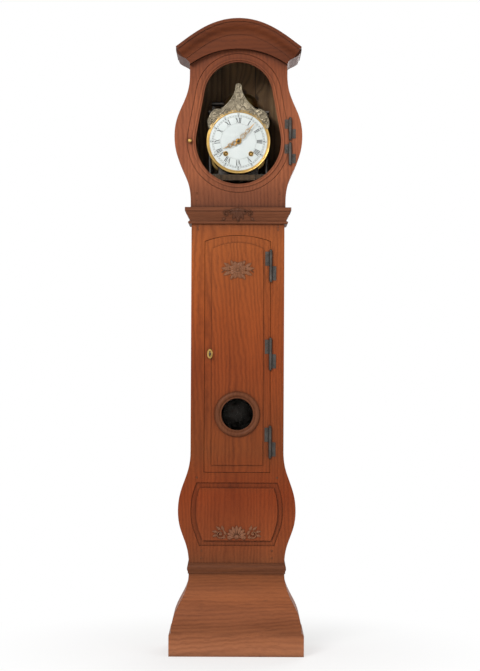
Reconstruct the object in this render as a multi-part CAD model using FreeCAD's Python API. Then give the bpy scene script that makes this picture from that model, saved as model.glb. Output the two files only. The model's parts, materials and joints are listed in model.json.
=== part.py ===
"""Longcase clock with a violin-shaped cherry case, an arched crown, a glazed hood
and a weight-driven striking movement on a seat board.

Millimetres. +Z is up, the back stands against a wall at +Y, and the dial faces -Y.
The origin is on the floor, in the middle of the case's footprint.
"""
import FreeCAD
import Part
import math
import os

V = FreeCAD.Vector
OUT = "parts"

# Driving dimensions of the case
HEIGHT = 2300.0
BACK_Y = 140.0
TRUNK_FRONT_Y = -70.0
HOOD_PROUD = 14.0
BACKBOARD_T = 12.0
SIDE_T = 16.0
FRONT_T = 20.0

# Base
WAIST_HALF = 174.0
BASE_FLARE = 70.0
PLINTH_H = 84.0
PLINTH_STEP = 8.0
BASE_FOOT_T = 26.0
BASE_TOP_Z = 310.0
FLOOR_BOARD_Z = 60.0
WAIST_MOULD_H = 38.0
WAIST_MOULD_OUT = 6.0

# Trunk
BELLY_SWELL = 40.0
BELLY_Z = 518.0
NECK_Z = 735.0
TRUNK_HALF = 169.0
PANEL_BORDER = 46.0
PANEL_LOW_Z = 392.0
PANEL_HIGH_Z = 622.0
PANEL_RECESS = 5.0
PANEL_FIELD_INSET = 20.0
SHELL_REACH = 42.0

# Hood: drops count from the top, rises from the hood's foot
HOOD_H = 678.0
COLLAR_H = 60.0
COLLAR_OUT = 24.0
HOOD_FOOT_OUT = 3.0
HOOD_FOOT_H = 20.0
HEAD_SWELL = 60.0
HEAD_RISE = 258.0
HOOD_NECK_IN = 55.0
HOOD_NECK_DROP = 200.0
HOOD_ROOF_T = 12.0

# Crown
CROWN_DROP = 163.0
CROWN_EAR = 50.0
CROWN_EAR_IN = 3.0
CROWN_LIP_H = 11.0
CROWN_LIP_OUT = 4.0
CROWN_TIP_DROP = 103.0
CROWN_UNDER_DROP = 106.0
CROWN_BODY_OUT = 26.0
CROWN_MOULD_OUT = 30.0
CROWN_MOULD_H = 54.0
CROWN_FILLET = 2.0

# Trunk door and its window
GAP = 1.5
DOOR_HALF = 119.0
DOOR_BOTTOM_Z = 660.0
DOOR_RAIL = 102.0
DOOR_ARCH = 22.0
DOOR_FIELD_INSET = 26.0
DOOR_FIELD_OUT = 4.0
ROSETTE_R = 34.0
ROSETTE_DROP = 125.0
LENS_RISE = 211.0
LENS_R = 60.0
LENS_REBATE = 7.0
LENS_RING_W = 22.0
LENS_RING_OUT = 11.0
LENS_RING_STEP = 6.0
LENS_LIP = 2.0
GLASS_T = 3.0
SEAT_CLEARANCE = 0.3

# Hood door
EYE_MARGIN = 77.0
EYE_LOW_RISE = 240.0
EYE_TAPER = 30.0
EYE_TOP_DROP = 276.0
HOOD_RING_W = 30.0
HOOD_RING_LIP = 6.0
BEAD_OUT = 4.0
BEAD_W = 6.0

# Hinges
BARREL_R = 5.5
HINGE_PIN_R = 3.0
RUNNING = 0.05
HINGE_HALF_L = 52.0
HOOD_HINGE_HALF_L = 34.0
HOOD_HINGE_SPREAD = 45.0
HINGE_INSET = 110.0
STRAP_T = 1.5
STRAP_W = 20.0
STRAP_GAP = 1.0
HINGE_BALL_R = 5.0

# Lock, key and catch
KEY_INSET = 19.0
KEY_R = 2.6
KEY_OUT = 16.0
KEY_BOW_R = 8.0
KEYHOLE_GAP = 0.4
ESCUTCHEON_H = 17.0
ESCUTCHEON_W = 10.0
LOCK_INSET = 5.0
LOCK_W = 52.0
LOCK_T = 16.0
LOCK_HALF_H = 34.0
LOCK_WALL = 3.0
BOLT_L = 32.0
BOLT_T = 6.0
BOLT_H = 14.0
BOLT_LIFT = 8.0
CATCH_R = 3.0
CATCH_NECK_R = 5.0
CATCH_NECK_L = 8.0
CATCH_KNOB_R = 8.0
CATCH_TONGUE_T = 4.0
CATCH_TONGUE_L = 28.0
CATCH_INSET = 9.0

# Movement cage
DIAL_LIFT = 242.0
DIAL_R = 107.0
DIAL_RISE = 6.0
DIAL_RIM = 2.0
DIAL_Y = -46.0
DIAL_PLATE_OUT = 10.0
DIAL_PLATE_T = 3.0
DIAL_FOOT_R = 4.0
DIAL_FEET = (-90.0, 70.0)
FRONTON_H = 106.0
FRONTON_T = 3.0
FRONTON_STRUT = 12.0
CAGE_FRONT_Y = -10.0
CAGE_BACK_Y = 102.0
CAGE_HALF = 112.0
CAGE_EDGE = 4.0
CAGE_BELOW = 122.0
CAGE_ABOVE = 116.0
PLATE_T = 6.0
BAR_T = 6.0
SIDE_BAR = (36.0, 72.0)
CENTRE_BAR = 11.0
PILLAR_X = 104.0
PILLAR_R = 6.0
SEAT_T = 20.0
BEARER_H = 24.0
BEARER_W = 22.0
SEAT_GAP = 2.0
CORD_SLOT = 9.0

# Wheels
PIVOT_R = 2.0
END_SHAKE = 0.5
ARBOR_R = 3.0
STUD_R = 3.0
BARREL_ARBOR_R = 7.0
BARREL_X = 46.0
DRUM_R = 26.0
DRUM_Y = (32.0, 80.0)
FLANGE = 5.0
FLANGE_T = 3.0
WINDING_R = 5.0
SQUARE = 7.0
WINDING_HOLE_R = 7.0
CORD_R = 2.0
GREAT_TEETH = 72
PINION_TEETH = 8
GREAT_M = 1.6
SECOND_TEETH = 60
SECOND_M = 1.2
STRIKE_M = 1.0
ESCAPE_R = 30.0
ESCAPE_TEETH = 30
CANNON_TEETH = 12
MINUTE_TEETH = 36
MOTION_M = 1.5
MINUTE_PINION_TEETH = 10
HOUR_TEETH = 40
PIN_X = 60.0
PIN_R = 1.5
PIN_L = 5.0
PIN_COUNT = 8
FLY_R = 24.0
FLY_T = 1.2
LEAF_OVER = 2.0
ANCHOR_OVER = 14.0
ANCHOR_BAND = (33.0, 38.0)
ANCHOR_SPAN_DEG = 50.0
CRUTCH_L = 85.0
CRUTCH_W = 6.0
CRUTCH_T = 3.0
CRUTCH_GAP = 2.0
FORK_GAP = 0.7
PIPE_R = 5.5
PIPE_GAP = 2.0
HAND_T = 1.2
HAND_BOSS = 4.5
MINUTE_HAND_W = 4.0
HOUR_HAND_W = 4.6
MINUTE_ANGLE = 42.0
HOUR_ANGLE = 243.5

# Places of the wheels from front to back
MINUTE_HAND_Y = -64.0
HOUR_HAND_Y = -60.0
MINUTE_STUD_Y = -40.0
HOUR_WHEEL_Y = (-36.0, -33.0)
MINUTE_WHEEL_Y = (-21.0, -17.0)
CANNON_Y = (-22.0, -14.0)
GOING_Y = (8.0, 12.0)
SECOND_Y = (22.0, 25.0)
FLY_Y = (30.0, 58.0)
ANCHOR_Y = (46.0, 52.5)
ESCAPE_Y = (48.0, 50.5)
PIN_WHEEL_Y = (66.0, 69.0)
STRIKE_Y = (86.0, 90.0)

# Pendulum and weights
PENDULUM_Y = 113.0
ROD_R = 3.5
ROD_EYE_R = 7.8
ROD_EYE_T = 6.4
ROD_TAIL = 26.0
BOB_R = 76.0
BOB_T = 20.0
BOB_RIM = 1.0
NUT_R = 9.0
NUT_H = 10.0
COCK_HALF = 9.0
COCK_Y = 123.0
COCK_T = 4.0
WEIGHT_R = 40.0
WEIGHT_H = 190.0
WEIGHT_DROP = 332.0
WEIGHT_CONE = 10.0
RING_R = 9.0
RING_WIRE = 2.5

# Bell and hammer
BELL_X = 10.0
BELL_Y = 46.0
BELL_LIFT = 19.0
BELL_R = 62.0
BELL_H = 50.0
BELL_T = 3.0
BELL_POST_R = 4.0
HAMMER_X = 92.0
HAMMER_LIFT = 14.0
HAMMER_STEM = 18.0
HAMMER_EAR_Y = (30.0, 62.0)
HAMMER_EAR_T = 4.0
HAMMER_EAR_HALF = 6.0
HAMMER_HEAD_R = 7.0
HAMMER_GAP = 3.0

# Worked-out places of the case
INNER_BACK_Y = BACK_Y - BACKBOARD_T
HOOD_FRONT_Y = TRUNK_FRONT_Y - HOOD_PROUD
PLINTH_HALF = WAIST_HALF + BASE_FLARE
BELLY_HALF = WAIST_HALF + BELLY_SWELL
TRUNK_TOP_Z = HEIGHT - HOOD_H
HOOD_FOOT_HALF = TRUNK_HALF + HOOD_FOOT_OUT
HEAD_HALF = HOOD_FOOT_HALF + HEAD_SWELL
HEAD_Z = TRUNK_TOP_Z + HEAD_RISE
HOOD_NECK_HALF = HEAD_HALF - HOOD_NECK_IN
HOOD_NECK_Z = HEIGHT - HOOD_NECK_DROP
CROWN_SPRING_Z = HEIGHT - CROWN_DROP
CROWN_HALF = HOOD_NECK_HALF + CROWN_EAR
CROWN_TIP_Z = HEIGHT - CROWN_TIP_DROP
CROWN_UNDER_Z = HEIGHT - CROWN_UNDER_DROP
CROWN_BODY_Y = HOOD_FRONT_Y - CROWN_BODY_OUT
CROWN_FRONT_Y = CROWN_BODY_Y - CROWN_MOULD_OUT
DOOR_TOP_Z = TRUNK_TOP_Z - DOOR_RAIL
DOOR_FACE_Y = TRUNK_FRONT_Y - DOOR_FIELD_OUT
DOOR_BACK_Y = TRUNK_FRONT_Y + FRONT_T
ROSETTE_Z = DOOR_TOP_Z - ROSETTE_DROP
LENS_Z = DOOR_BOTTOM_Z + LENS_RISE
EYE_LOW_Z = TRUNK_TOP_Z + EYE_LOW_RISE
EYE_LOW_R = HEAD_HALF - EYE_MARGIN
EYE_TOP_Z = HEIGHT - EYE_TOP_DROP
EYE_TOP_R = EYE_LOW_R - EYE_TAPER
HOOD_BACK_Y = HOOD_FRONT_Y + FRONT_T
HOOD_HINGE_X = EYE_LOW_R + HOOD_RING_W + 2 * GAP
HOOD_HINGE_Z = (EYE_LOW_Z - HOOD_HINGE_SPREAD, EYE_LOW_Z + HOOD_HINGE_SPREAD)
TRUNK_HINGE_X = DOOR_HALF + GAP / 2
TRUNK_HINGE_Z = (DOOR_BOTTOM_Z + HINGE_INSET, (DOOR_BOTTOM_Z + DOOR_TOP_Z) / 2, DOOR_TOP_Z - HINGE_INSET)
KEY_X = KEY_INSET - DOOR_HALF
KEY_Z = (DOOR_BOTTOM_Z + DOOR_TOP_Z) / 2
LOCK_X = LOCK_INSET - DOOR_HALF
CATCH_X = EYE_LOW_R + HOOD_RING_W - CATCH_INSET

# Worked-out places of the movement
DIAL_Z = TRUNK_TOP_Z + DIAL_LIFT
FRONTON_Z = DIAL_Z + DIAL_R + FRONTON_H
CAGE_FLOOR_Z = DIAL_Z - CAGE_BELOW
CAGE_TOP_Z = DIAL_Z + CAGE_ABOVE
BARS_LOW_Z = CAGE_FLOOR_Z + PLATE_T
BARS_HIGH_Z = CAGE_TOP_Z - PLATE_T
SEAT_LOW_Z = CAGE_FLOOR_Z - SEAT_T
FORE_Y = CAGE_FRONT_Y + BAR_T + END_SHAKE
AFT_Y = CAGE_BACK_Y - BAR_T - END_SHAKE
GREAT_REACH = GREAT_M * (GREAT_TEETH + PINION_TEETH) / 2
BARREL_Z = DIAL_Z - math.sqrt(GREAT_REACH ** 2 - BARREL_X ** 2)
ESCAPE_Z = DIAL_Z + SECOND_M * (SECOND_TEETH + PINION_TEETH) / 2
ANCHOR_Z = ESCAPE_Z + ESCAPE_R + ANCHOR_OVER
MINUTE_WHEEL_Z = DIAL_Z - MOTION_M * (CANNON_TEETH + MINUTE_TEETH) / 2
HOUR_M = MOTION_M * (CANNON_TEETH + MINUTE_TEETH) / (MINUTE_PINION_TEETH + HOUR_TEETH)
PIN_Z = BARREL_Z + math.sqrt(GREAT_REACH ** 2 - (PIN_X - BARREL_X) ** 2)
FLY_Z = PIN_Z + STRIKE_M * (SECOND_TEETH + PINION_TEETH) / 2
CORD_X = BARREL_X + DRUM_R + CORD_R + SEAT_CLEARANCE
CORD_Y = (DRUM_Y[0] + DRUM_Y[1]) / 2
WEIGHT_TOP_Z = TRUNK_TOP_Z - WEIGHT_DROP
RING_Z = WEIGHT_TOP_Z + WEIGHT_CONE + RING_R
BELL_Z = CAGE_TOP_Z + BELL_LIFT
HAMMER_Z = CAGE_TOP_Z + HAMMER_LIFT
HAMMER_HEAD_Z = HAMMER_Z + HAMMER_STEM


def line(a, b):
    return Part.LineSegment(V(*a), V(*b)).toShape()


def xz(x, z):
    return (x, 0.0, z)


def arc_xz(a, b, c):
    return Part.Arc(V(*xz(*a)), V(*xz(*b)), V(*xz(*c))).toShape()


def bezier_xz(*poles):
    curve = Part.BezierCurve()
    curve.setPoles([V(*xz(*p)) for p in poles])
    return curve.toShape()


def s_curve(a, b, pull=0.45):
    """A curve that leaves a and meets b vertically."""
    rise = (b[1] - a[1]) * pull
    return bezier_xz(a, (a[0], a[1] + rise), (b[0], b[1] - rise), b)


def face_of(edges):
    return Part.Face(Part.Wire(Part.__sortEdges__(edges)))


def slab(face, y0, y1):
    """A face drawn in the XZ plane, made solid from y0 to y1."""
    solid = face.extrude(V(0, y1 - y0, 0))
    solid.translate(V(0, y0, 0))
    return solid


def box(x0, x1, y0, y1, z0, z1):
    return Part.makeBox(x1 - x0, y1 - y0, z1 - z0, V(x0, y0, z0))


def rod_y(radius, x, z, y0, y1):
    return Part.makeCylinder(radius, y1 - y0, V(x, y0, z), V(0, 1, 0))


def rod_z(radius, x, y, z0, z1):
    return Part.makeCylinder(radius, z1 - z0, V(x, y, z0), V(0, 0, 1))


def mirror_x(shape):
    return shape.mirror(V(0, 0, 0), V(1, 0, 0))


def both_sides(edges):
    """Right-hand edges, bottom to top, closed by their mirror image and two straight edges."""
    low = edges[0].Vertexes[0].Point
    high = edges[-1].Vertexes[-1].Point
    closed = list(edges) + [mirror_x(e) for e in edges]
    closed.append(line((-low.x, 0, low.z), (low.x, 0, low.z)))
    closed.append(line((-high.x, 0, high.z), (high.x, 0, high.z)))
    return face_of(closed)


def strip(outer, inner):
    """The face between two runs of edges that start and end at the same heights."""
    a0, a1 = outer[0].Vertexes[0].Point, outer[-1].Vertexes[-1].Point
    b0, b1 = inner[0].Vertexes[0].Point, inner[-1].Vertexes[-1].Point
    ends = [line((a0.x, 0, a0.z), (b0.x, 0, b0.z)), line((a1.x, 0, a1.z), (b1.x, 0, b1.z))]
    return face_of(list(outer) + list(inner) + ends)


def trunk_edges(inset=0.0):
    """Right side of the violin-shaped trunk, from the base to the collar."""
    waist = WAIST_HALF - inset
    foot_z = BASE_TOP_Z + WAIST_MOULD_H / 2
    belly = (BELLY_HALF - inset, BELLY_Z)
    neck = (TRUNK_HALF - inset, NECK_Z)
    return [
        line(xz(waist, BASE_TOP_Z), xz(waist, foot_z)),
        s_curve((waist, foot_z), belly),
        s_curve(belly, neck),
        line(xz(*neck), xz(TRUNK_HALF - inset, TRUNK_TOP_Z)),
    ]


def head_edges(inset=0.0):
    """Right side of the round head, from the collar to the spring of the crown."""
    foot = HOOD_FOOT_HALF - inset
    foot_z = TRUNK_TOP_Z + HOOD_FOOT_H
    middle = (HEAD_HALF - inset, HEAD_Z)
    neck = (HOOD_NECK_HALF - inset, HOOD_NECK_Z)
    return [
        line(xz(foot, TRUNK_TOP_Z), xz(foot, foot_z)),
        s_curve((foot, foot_z), middle),
        s_curve(middle, neck),
        line(xz(*neck), xz(neck[0], CROWN_SPRING_Z)),
    ]


def crown_top_edges(drop=0.0):
    """The crown's ogee top, right half, from the middle to the tip of the ear."""
    top = HEIGHT - drop
    tip = CROWN_TIP_Z - drop
    brow, flank = CROWN_HALF * 0.43, CROWN_HALF * 0.73
    return [bezier_xz((0, top), (brow, top), (flank, tip + 0.45 * (top - tip)), (CROWN_HALF, tip))]


def eye_face(grow=0.0):
    """The pear-shaped opening of the hood: two circles joined by their outer tangents."""
    low, top = EYE_LOW_R + grow, EYE_TOP_R + grow
    slope = math.asin((EYE_LOW_R - EYE_TOP_R) / (EYE_TOP_Z - EYE_LOW_Z))
    c, s = math.cos(slope), math.sin(slope)
    a = (low * c, EYE_LOW_Z + low * s)
    b = (top * c, EYE_TOP_Z + top * s)
    return face_of([
        arc_xz((-a[0], a[1]), (0, EYE_LOW_Z - low), a),
        line(xz(*a), xz(*b)),
        arc_xz(b, (0, EYE_TOP_Z + top), (-b[0], b[1])),
        line(xz(-b[0], b[1]), xz(-a[0], a[1])),
    ])


def disc_face(radius, x, z):
    circle = Part.Circle(V(x, 0, z), V(0, 1, 0), radius).toShape()
    return Part.Face(Part.Wire(circle))


def door_face(grow=0.0):
    """The trunk door's outline: straight sides under a flat arch."""
    half = DOOR_HALF + grow
    low = DOOR_BOTTOM_Z - grow
    shoulder = DOOR_TOP_Z - DOOR_ARCH + grow
    return face_of([
        line(xz(-half, low), xz(half, low)),
        line(xz(half, low), xz(half, shoulder)),
        arc_xz((half, shoulder), (0, DOOR_TOP_Z + grow), (-half, shoulder)),
        line(xz(-half, shoulder), xz(-half, low)),
    ])


def belly_face(inset=0.0):
    """The belly panel's outline, which follows the swell of the case."""
    border = PANEL_BORDER + inset
    swell = both_sides(trunk_edges(border))
    low, high = PANEL_LOW_Z + inset, PANEL_HIGH_Z - inset
    frame = face_of([
        line(xz(-BELLY_HALF, low), xz(BELLY_HALF, low)),
        line(xz(BELLY_HALF, low), xz(BELLY_HALF, high)),
        line(xz(BELLY_HALF, high), xz(-BELLY_HALF, high)),
        line(xz(-BELLY_HALF, high), xz(-BELLY_HALF, low)),
    ])
    return swell.common(frame).Faces[0]


def corner_wedge(half, front_y, back_y, z0, z1, out):
    """The part of a return that lies behind its mitre, on the right side."""
    points = [(half, front_y), (half + out, front_y - out), (half + out, back_y), (half, back_y)]
    wire = Part.makePolygon([V(x, y, z0) for x, y in points + points[:1]])
    return Part.Face(wire).extrude(V(0, 0, z1 - z0))


def mitred_trio(profile, half, front_y, back_y):
    """A moulding across the front with returns at both sides.

    profile holds edges of a closed outline in (outward, z), drawn in the XZ plane.
    """
    section = face_of(profile)
    out = section.BoundBox.XMax
    z0, z1 = section.BoundBox.ZMin, section.BoundBox.ZMax
    side = section.copy()
    side.translate(V(half, front_y - out, 0))
    right = side.extrude(V(0, back_y - front_y + out, 0))
    right = right.common(corner_wedge(half, front_y, back_y, z0, z1, out))
    ahead = section.copy()
    ahead.rotate(V(0, 0, 0), V(0, 0, 1), -90)
    ahead.translate(V(-half - out, front_y, 0))
    front = ahead.extrude(V(2 * (half + out), 0, 0))
    reach = half + out
    points = [(-half, front_y), (half, front_y), (reach, front_y - out), (-reach, front_y - out)]
    wire = Part.makePolygon([V(x, y, z0) for x, y in points + points[:1]])
    front = front.common(Part.Face(wire).extrude(V(0, 0, z1 - z0)))
    return front, mirror_x(right), right


def gear(teeth, module, x, z, y0, y1, phase, bore=0.0):
    """A wheel with straight-flanked teeth, one of them centred on the angle phase."""
    pitch = 2 * math.pi / teeth
    radius = module * teeth / 2
    root, tip = radius - 1.1 * module, radius + 0.8 * module
    shares = ((root, -0.27), (tip, -0.12), (tip, 0.12), (root, 0.27))
    points = []
    for k in range(teeth):
        for r, share in shares:
            angle = phase + (k + share) * pitch
            points.append(V(x + r * math.cos(angle), y0, z + r * math.sin(angle)))
    wheel = Part.Face(Part.makePolygon(points + points[:1])).extrude(V(0, y1 - y0, 0))
    if bore:
        wheel = wheel.cut(rod_y(bore, x, z, y0, y1))
    return wheel


def spoked(wheel, x, z, y0, y1, hub, rim, spokes=4, arm=5.0):
    """Cuts the windows between the spokes of a wheel."""
    ring = rod_y(rim, x, z, y0, y1).cut(rod_y(hub, x, z, y0, y1))
    for k in range(spokes):
        bar = box(0, rim, y0, y1, -arm / 2, arm / 2)
        bar.rotate(V(0, 0, 0), V(0, 1, 0), k * 360.0 / spokes)
        bar.translate(V(x, 0, z))
        ring = ring.cut(bar)
    return wheel.cut(ring)


def fuse(*shapes):
    joined = shapes[0].fuse(list(shapes[1:]))
    return joined.removeSplitter()


def ring_of(outer, inner, y0, y1):
    return slab(outer.cut(inner).Faces[0], y0, y1)


# The case

def base_edges():
    """Right side of the base, from the floor to the joint with the trunk."""
    toe = (PLINTH_HALF - PLINTH_STEP, PLINTH_H)
    waist_low = BASE_TOP_Z - WAIST_MOULD_H / 2
    return [
        line(xz(PLINTH_HALF, 0), xz(PLINTH_HALF, PLINTH_H - PLINTH_STEP)),
        line(xz(PLINTH_HALF, PLINTH_H - PLINTH_STEP), xz(*toe)),
        s_curve(toe, (WAIST_HALF, waist_low)),
        line(xz(WAIST_HALF, waist_low), xz(WAIST_HALF, BASE_TOP_Z)),
    ]


def base_boards():
    """Front and two sides of the flared base, mitred at the corners."""
    foot = BASE_FLARE + SIDE_T
    waist_low = BASE_TOP_Z - WAIST_MOULD_H / 2
    shoulder = PLINTH_H - PLINTH_STEP
    outer = []
    for edge in base_edges():
        moved = edge.copy()
        moved.translate(V(SIDE_T - WAIST_HALF, 0, 0))
        outer.append(moved)
    profile = outer + [
        line(xz(foot, 0), xz(foot - BASE_FOOT_T, 0)),
        line(xz(foot - BASE_FOOT_T, 0), xz(foot - BASE_FOOT_T, shoulder)),
        s_curve((foot - BASE_FOOT_T, shoulder), (0, waist_low)),
        line(xz(0, waist_low), xz(0, BASE_TOP_Z)),
        line(xz(0, BASE_TOP_Z), xz(SIDE_T, BASE_TOP_Z)),
    ]
    return mitred_trio(profile, WAIST_HALF - SIDE_T, TRUNK_FRONT_Y + SIDE_T, INNER_BACK_Y)


def base_floor():
    """Bottom board, let in between the four walls of the plinth."""
    half = PLINTH_HALF - BASE_FOOT_T
    front = TRUNK_FRONT_Y - BASE_FLARE + BASE_FOOT_T
    return box(-half, half, front, INNER_BACK_Y, FLOOR_BOARD_Z - BACKBOARD_T, FLOOR_BOARD_Z)


def waist_moulding():
    """A half-round bead between fillets, covering the joint of base and trunk."""
    low, high = BASE_TOP_Z - WAIST_MOULD_H / 2, BASE_TOP_Z + WAIST_MOULD_H / 2
    fillet = WAIST_MOULD_H * 0.2
    step = WAIST_MOULD_OUT / 2
    profile = [
        line(xz(0, low), xz(step, low)),
        line(xz(step, low), xz(step, low + fillet)),
        arc_xz((step, low + fillet), (WAIST_MOULD_OUT, BASE_TOP_Z), (step, high - fillet)),
        line(xz(step, high - fillet), xz(step, high)),
        line(xz(step, high), xz(0, high)),
        line(xz(0, high), xz(0, low)),
    ]
    return Part.makeCompound(list(mitred_trio(profile, WAIST_HALF, TRUNK_FRONT_Y, BACK_Y)))


def collar_moulding():
    """A bead, a cyma and a flat lip between the trunk and the hood."""
    low, high = TRUNK_TOP_Z - COLLAR_H, TRUNK_TOP_Z
    lip = COLLAR_H * 0.22
    bead = COLLAR_H * 0.18
    start, end = COLLAR_OUT * 0.3, COLLAR_OUT * 0.85
    swing = COLLAR_H * 0.27
    profile = [
        line(xz(0, low), xz(start, low)),
        arc_xz((start, low), (start + bead / 2, low + bead / 2), (start, low + bead)),
        bezier_xz((start, low + bead), (start, low + bead + swing), (end, high - lip - swing),
                  (end, high - lip)),
        line(xz(end, high - lip), xz(COLLAR_OUT, high - lip)),
        line(xz(COLLAR_OUT, high - lip), xz(COLLAR_OUT, high)),
        line(xz(COLLAR_OUT, high), xz(0, high)),
        line(xz(0, high), xz(0, low)),
    ]
    return Part.makeCompound(list(mitred_trio(profile, TRUNK_HALF, TRUNK_FRONT_Y, BACK_Y)))


def under_roof_face(drop):
    """The area over the hood's neck and below the crown's top curve, lowered by drop."""
    upper = crown_top_edges(drop)[0]
    whole = face_of([
        upper, mirror_x(upper),
        line(xz(CROWN_HALF, CROWN_TIP_Z - drop), xz(CROWN_HALF, CROWN_SPRING_Z)),
        line(xz(CROWN_HALF, CROWN_SPRING_Z), xz(-CROWN_HALF, CROWN_SPRING_Z)),
        line(xz(-CROWN_HALF, CROWN_SPRING_Z), xz(-CROWN_HALF, CROWN_TIP_Z - drop)),
    ])
    return whole.common(neck_window()).Faces[0]


def neck_window():
    """A tall rectangle as wide as the hood's neck, standing on the spring of the crown."""
    half, low, high = HOOD_NECK_HALF, CROWN_SPRING_Z, HEIGHT + CROWN_MOULD_H
    return face_of([
        line(xz(-half, low), xz(half, low)), line(xz(half, low), xz(half, high)),
        line(xz(half, high), xz(-half, high)), line(xz(-half, high), xz(-half, low)),
    ])


def backboard():
    """One flat board cut to the whole outline of the case."""
    faces = [both_sides(base_edges()), both_sides(trunk_edges()), both_sides(head_edges()),
             under_roof_face(HOOD_ROOF_T)]
    return fuse(*[slab(face, INNER_BACK_Y, BACK_Y) for face in faces])


def trunk_side():
    wall = strip(trunk_edges(), trunk_edges(SIDE_T))
    return slab(wall, TRUNK_FRONT_Y + FRONT_T, INNER_BACK_Y)


def trunk_front_frame():
    """Front board of the trunk, open for the door and for the belly panel."""
    inside = TRUNK_FRONT_Y + FRONT_T
    board = slab(both_sides(trunk_edges()), TRUNK_FRONT_Y, inside)
    board = board.cut(slab(door_face(GAP), TRUNK_FRONT_Y, inside))
    return board.cut(slab(belly_face(), TRUNK_FRONT_Y, inside))


def belly_panel():
    """A panel with a raised field, set into the swell of the trunk."""
    ground = TRUNK_FRONT_Y + PANEL_RECESS
    back = slab(belly_face(), ground, TRUNK_FRONT_Y + FRONT_T)
    field = slab(belly_face(PANEL_FIELD_INSET), TRUNK_FRONT_Y - DOOR_FIELD_OUT, ground)
    return fuse(back, field)


def shell_carving(x, z, face_y, length, ribs=7):
    """A fan of tapered ribs in half relief, opening upwards."""
    fan = [rod_y(length * 0.16, x, z, face_y - length * 0.12, face_y)]
    for k in range(ribs):
        angle = math.pi * k / (ribs - 1)
        reach = length * (0.78 + 0.22 * math.sin(angle))
        way = V(math.cos(angle), 0, math.sin(angle))
        fan.append(Part.makeCone(length * 0.05, length * 0.15, reach, V(x, face_y, z), way))
    relief = fuse(*fan)
    return relief.cut(box(x - 2 * length, x + 2 * length, face_y, face_y + length,
                          z - 2 * length, z + 2 * length))


def rosette_carving(x, z, face_y, radius, petals=8):
    """A flower of round petals about a raised eye."""
    lobes = [rod_y(radius * 0.34, x, z, face_y - radius * 0.26, face_y)]
    for k in range(petals):
        angle = 2 * math.pi * (k + 0.5) / petals
        px, pz = x + radius * 0.66 * math.cos(angle), z + radius * 0.66 * math.sin(angle)
        lobes.append(Part.makeCone(radius * 0.34, radius * 0.22, radius * 0.16,
                                   V(px, face_y, pz), V(0, -1, 0)))
    return fuse(*lobes)


# The hood and its crown

def hood_side():
    wall = strip(head_edges(), head_edges(SIDE_T))
    return slab(wall, HOOD_FRONT_Y + FRONT_T, INNER_BACK_Y)


def hood_front_frame():
    """Front board of the hood, open for the glazed door."""
    inside = HOOD_FRONT_Y + FRONT_T
    board = fuse(slab(both_sides(head_edges()), HOOD_FRONT_Y, inside),
                 slab(under_roof_face(HOOD_ROOF_T), HOOD_FRONT_Y, inside))
    return board.cut(slab(eye_face(HOOD_RING_W + GAP), HOOD_FRONT_Y, inside))


def hood_roof():
    """A bent board that follows the crown's top."""
    band = under_roof_face(0).cut(under_roof_face(HOOD_ROOF_T)).Faces[0]
    return slab(band, HOOD_FRONT_Y, BACK_Y)


def crown_face():
    """The crown's front outline: ogee top, coved ears and an arched underside."""
    top = crown_top_edges()[0]
    cove = CROWN_HALF - CROWN_EAR_IN
    lip_z = CROWN_TIP_Z - CROWN_LIP_H
    rise = (lip_z - CROWN_SPRING_Z) * 0.55
    ear = [
        line(xz(CROWN_HALF, CROWN_TIP_Z), xz(CROWN_HALF, lip_z)),
        line(xz(CROWN_HALF, lip_z), xz(cove, lip_z)),
        bezier_xz((cove, lip_z), (cove, lip_z - rise), (HOOD_NECK_HALF, CROWN_SPRING_Z + rise),
                  (HOOD_NECK_HALF, CROWN_SPRING_Z)),
    ]
    under = arc_xz((-HOOD_NECK_HALF, CROWN_SPRING_Z), (0, CROWN_UNDER_Z),
                   (HOOD_NECK_HALF, CROWN_SPRING_Z))
    return face_of([top, mirror_x(top), under] + ear + [mirror_x(e) for e in ear])


def crown_front():
    """The crown's body with a cyma moulding bent along its top."""
    body = slab(crown_face(), CROWN_BODY_Y, HOOD_FRONT_Y)
    lip = HEIGHT - CROWN_LIP_H
    low = HEIGHT - CROWN_MOULD_H
    nose = CROWN_FRONT_Y + CROWN_LIP_OUT
    foot = CROWN_BODY_Y - CROWN_FILLET
    swing = (lip - low) * 0.55
    cyma = Part.BezierCurve()
    cyma.setPoles([V(0, nose, lip), V(0, nose, lip - swing), V(0, foot, low + swing), V(0, foot, low)])
    edges = [
        line((0, CROWN_BODY_Y, HEIGHT), (0, CROWN_FRONT_Y, HEIGHT)),
        line((0, CROWN_FRONT_Y, HEIGHT), (0, CROWN_FRONT_Y, lip)),
        line((0, CROWN_FRONT_Y, lip), (0, nose, lip)),
        cyma.toShape(),
        line((0, foot, low), (0, CROWN_BODY_Y, low)),
        line((0, CROWN_BODY_Y, low), (0, CROWN_BODY_Y, HEIGHT)),
    ]
    profile = Part.Wire(Part.__sortEdges__(edges))
    right = Part.Wire(crown_top_edges()).makePipeShell([profile], True, False)
    moulding = fuse(right, mirror_x(right))
    return fuse(body, moulding.common(slab(crown_face(), CROWN_FRONT_Y, CROWN_BODY_Y)))


def crown_returns():
    """The crown's mouldings along the sides of the hood."""
    ears = crown_face().cut(neck_window())
    solids = [slab(face, HOOD_FRONT_Y, BACK_Y) for face in ears.Faces]
    return Part.makeCompound([s for s in solids if abs(s.CenterOfMass.x) > HOOD_NECK_HALF])


# The doors

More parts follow.
